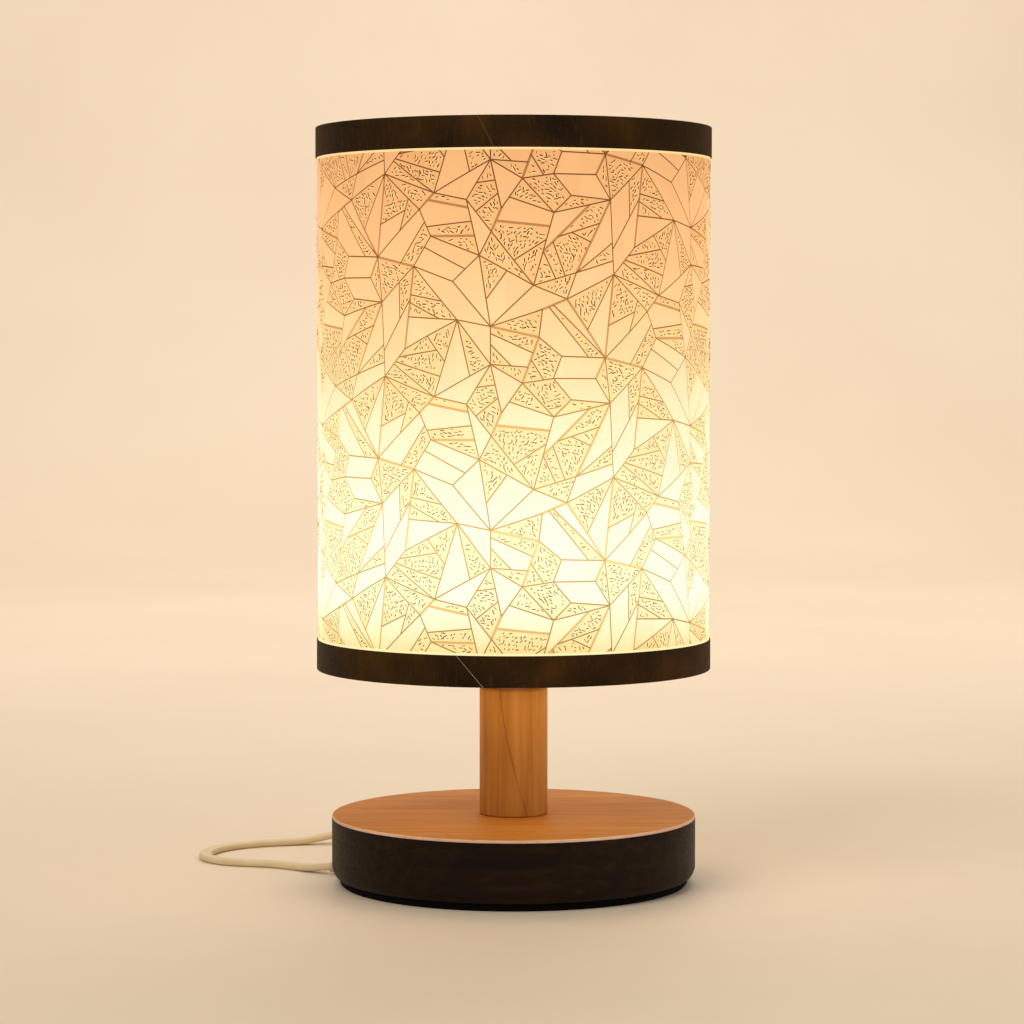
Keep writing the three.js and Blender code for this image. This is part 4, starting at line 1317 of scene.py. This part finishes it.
def add_plug(material, brass):
    body = softened("plug_moulded", "plug_body", [material], 0.9 * MM)
    low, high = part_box("plug_boot")
    middle = (low + high) / 2
    stations = ribbed(low.x - middle.x, high.x - middle.x, 5 * MM, 4.1 * MM, 0.72, 6)
    boot = oval_tube("plug_boot_ribbed", stations, middle, Vector((1, 0, 0)), material)
    piece(boot, "stand", "switch_cream", "plug_boot")
    blades = [softened(f"plug_pin_{index}", f"plug_blade_{index}", [brass], 0.25 * MM, slot="brass")
              for index in (1, 2)]
    return [body, boot] + blades


def add_tie(material):
    """A flat strap wound once round the coil."""
    low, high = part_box("coil_tie")
    centre, half = (low + high) / 2, (high - low) / 2
    corner = 1.5 * MM
    to_x, to_z = (value - TIE_THICKNESS / 2 - corner for value in (half.x, half.z))
    section = [(-half.y, -1), (-half.y * 0.9, 1), (half.y * 0.9, 1), (half.y, -1)]
    rows = []
    for x, z, start in ((to_x, to_z, 0), (-to_x, to_z, 90), (-to_x, -to_z, 180), (to_x, -to_z, 270)):
        for step in range(5):
            angle = math.radians(start + 22.5 * step)
            out = Vector((math.cos(angle), 0, math.sin(angle)))
            here = centre + Vector((x, 0, z)) + out * corner
            rows.append([here + out * layer * TIE_THICKNESS / 2 + Vector((0, across, 0))
                         for across, layer in section])
    made = lofted("coil_strap", rows, [material], joined=True)
    return piece(made, "stand", "tie_black", "coil_tie")


def add_switch(cream, white):
    shells = [softened("switch_shell_lower", "switch_lower_shell", [cream], 0.6 * MM),
              softened("switch_shell_upper", "switch_upper_shell", [cream], 0.6 * MM)]
    rocker = softened("switch_rocker_moulded", "switch_rocker", [white], 0.5 * MM, body="rocker",
                      slot="holder_plastic")
    return shells + [rocker]


# ---- Stage ---------------------------------------------------------------------------------------

def add_stage():
    s = Shader("floor")
    s.feed("Base Color", s.ramp(s.noise(3.0, 2.0), (0.3, rgb(230, 214, 192)), (0.7, rgb(235, 220, 199))))
    s.rough(s.noise(40.0), 0.55, 0.65)
    near, bend_start, bend_radius, ceiling, half = -60, 1.7, 0.8, 6, 60
    outline = [(near, 0)] + arc(bend_radius, -90, 0, 24, (bend_start, bend_radius)) + [
        (bend_start + bend_radius, ceiling)]
    corners = [(x, y, z) for y, z in outline for x in (-half, half)]
    faces = [(row * 2, row * 2 + 1, row * 2 + 3, row * 2 + 2) for row in range(len(outline) - 1)]
    mesh_object("floor", corners, faces, [s.material], sharp=80)
    world = bpy.data.worlds.new("studio")
    world.use_nodes = True
    world.node_tree.nodes["Background"].inputs["Color"].default_value = rgb(238, 228, 214)
    world.node_tree.nodes["Background"].inputs["Strength"].default_value = 0.45
    scene.world = world
    for name, spot, aim, size, power, colour in (
        ("key", (-0.9, -1.3, 1.5), (0, 0, 0.1), 1.2, 16, (1, 0.93, 0.84)),
        ("fill", (1.4, -0.9, 0.8), (0, 0, 0.1), 1.4, 6, (1, 0.95, 0.9)),
        ("rear", (0.3, 1.5, 1.5), (0, 0, 0.1), 1.2, 5, (1, 0.95, 0.88)),
        ("wall", (0, 1.0, 1.9), (0, 2.5, 0.5), 1.6, 26, (1, 0.95, 0.88)),
    ):
        data = bpy.data.lights.new(name, "AREA")
        data.size, data.energy, data.color = size, power, colour
        lamp = bpy.data.objects.new(name, data)
        lamp.location = spot
        lamp.rotation_euler = (Vector(aim) - Vector(spot)).to_track_quat("-Z", "Y").to_euler()
        scene.collection.objects.link(lamp)
    scene.view_settings.view_transform = "Standard"


# ---- The lamp ------------------------------------------------------------------------------------

def paint_frame(finishes):
    """Every CAD node takes the finish of its slot in the record."""
    for entry in frame["record"]["subparts"]:
        made = frame["nodes"][entry["node"]]
        made.data.materials.clear()
        made.data.materials.append(finishes[entry["material_slot"]])


add_camera()
finishes, shards, tops = slot_materials()
cord, cord_path, cord_exit = add_cord(finishes["cord_cream"])
paint_frame(finishes)
add_inner_cord(finishes["cord_cream"])
add_sheet(shards)
for name, node, upper, lap, lean, edge, tone in (
    ("shade_band_lower", "bottom_band", False, -12.3, -10, "lap_edge_pale", rgb(196, 172, 158)),
    ("shade_band_upper", "top_band", True, -7.8, -6, "lap_edge_dim", rgb(96, 78, 62)),
):
    lap_edge = fibrous(edge, (1800.0, 3.0, 0.5), shaded(tone, 0.8), tone, 0.00004, (0.6, 0.8))
    add_band(name, node, upper, math.radians(lap), lean * MM / radius_of(node),
             [finishes["dark_band"], lap_edge])
add_wire_ring("wire_lower", "bottom_ring", finishes["steel_wire"])
add_wire_ring("wire_upper", "top_ring", finishes["steel_wire"])
add_fitter(finishes["steel_wire"])
add_shade_ring(finishes["holder_plastic"])
add_base(finishes["dark_wood"], tops, finishes["foot"])
add_post(finishes["light_wood"])
add_holder(finishes["holder_plastic"])
add_bulb(finishes["bulb_frost"], finishes["bulb_plastic"], finishes["steel_wire"])
add_strain_relief(finishes["cord_cream"])
on_cord = add_switch(finishes["switch_cream"], finishes["holder_plastic"])
on_cord += add_plug(finishes["switch_cream"], finishes["brass"])
on_cord.append(add_tie(finishes["tie_black"]))
on_cord += ["switch_terminal_1", "switch_terminal_2", "switch_contact_strip",
            "switch_screw_1", "switch_screw_2"]
add_stage()
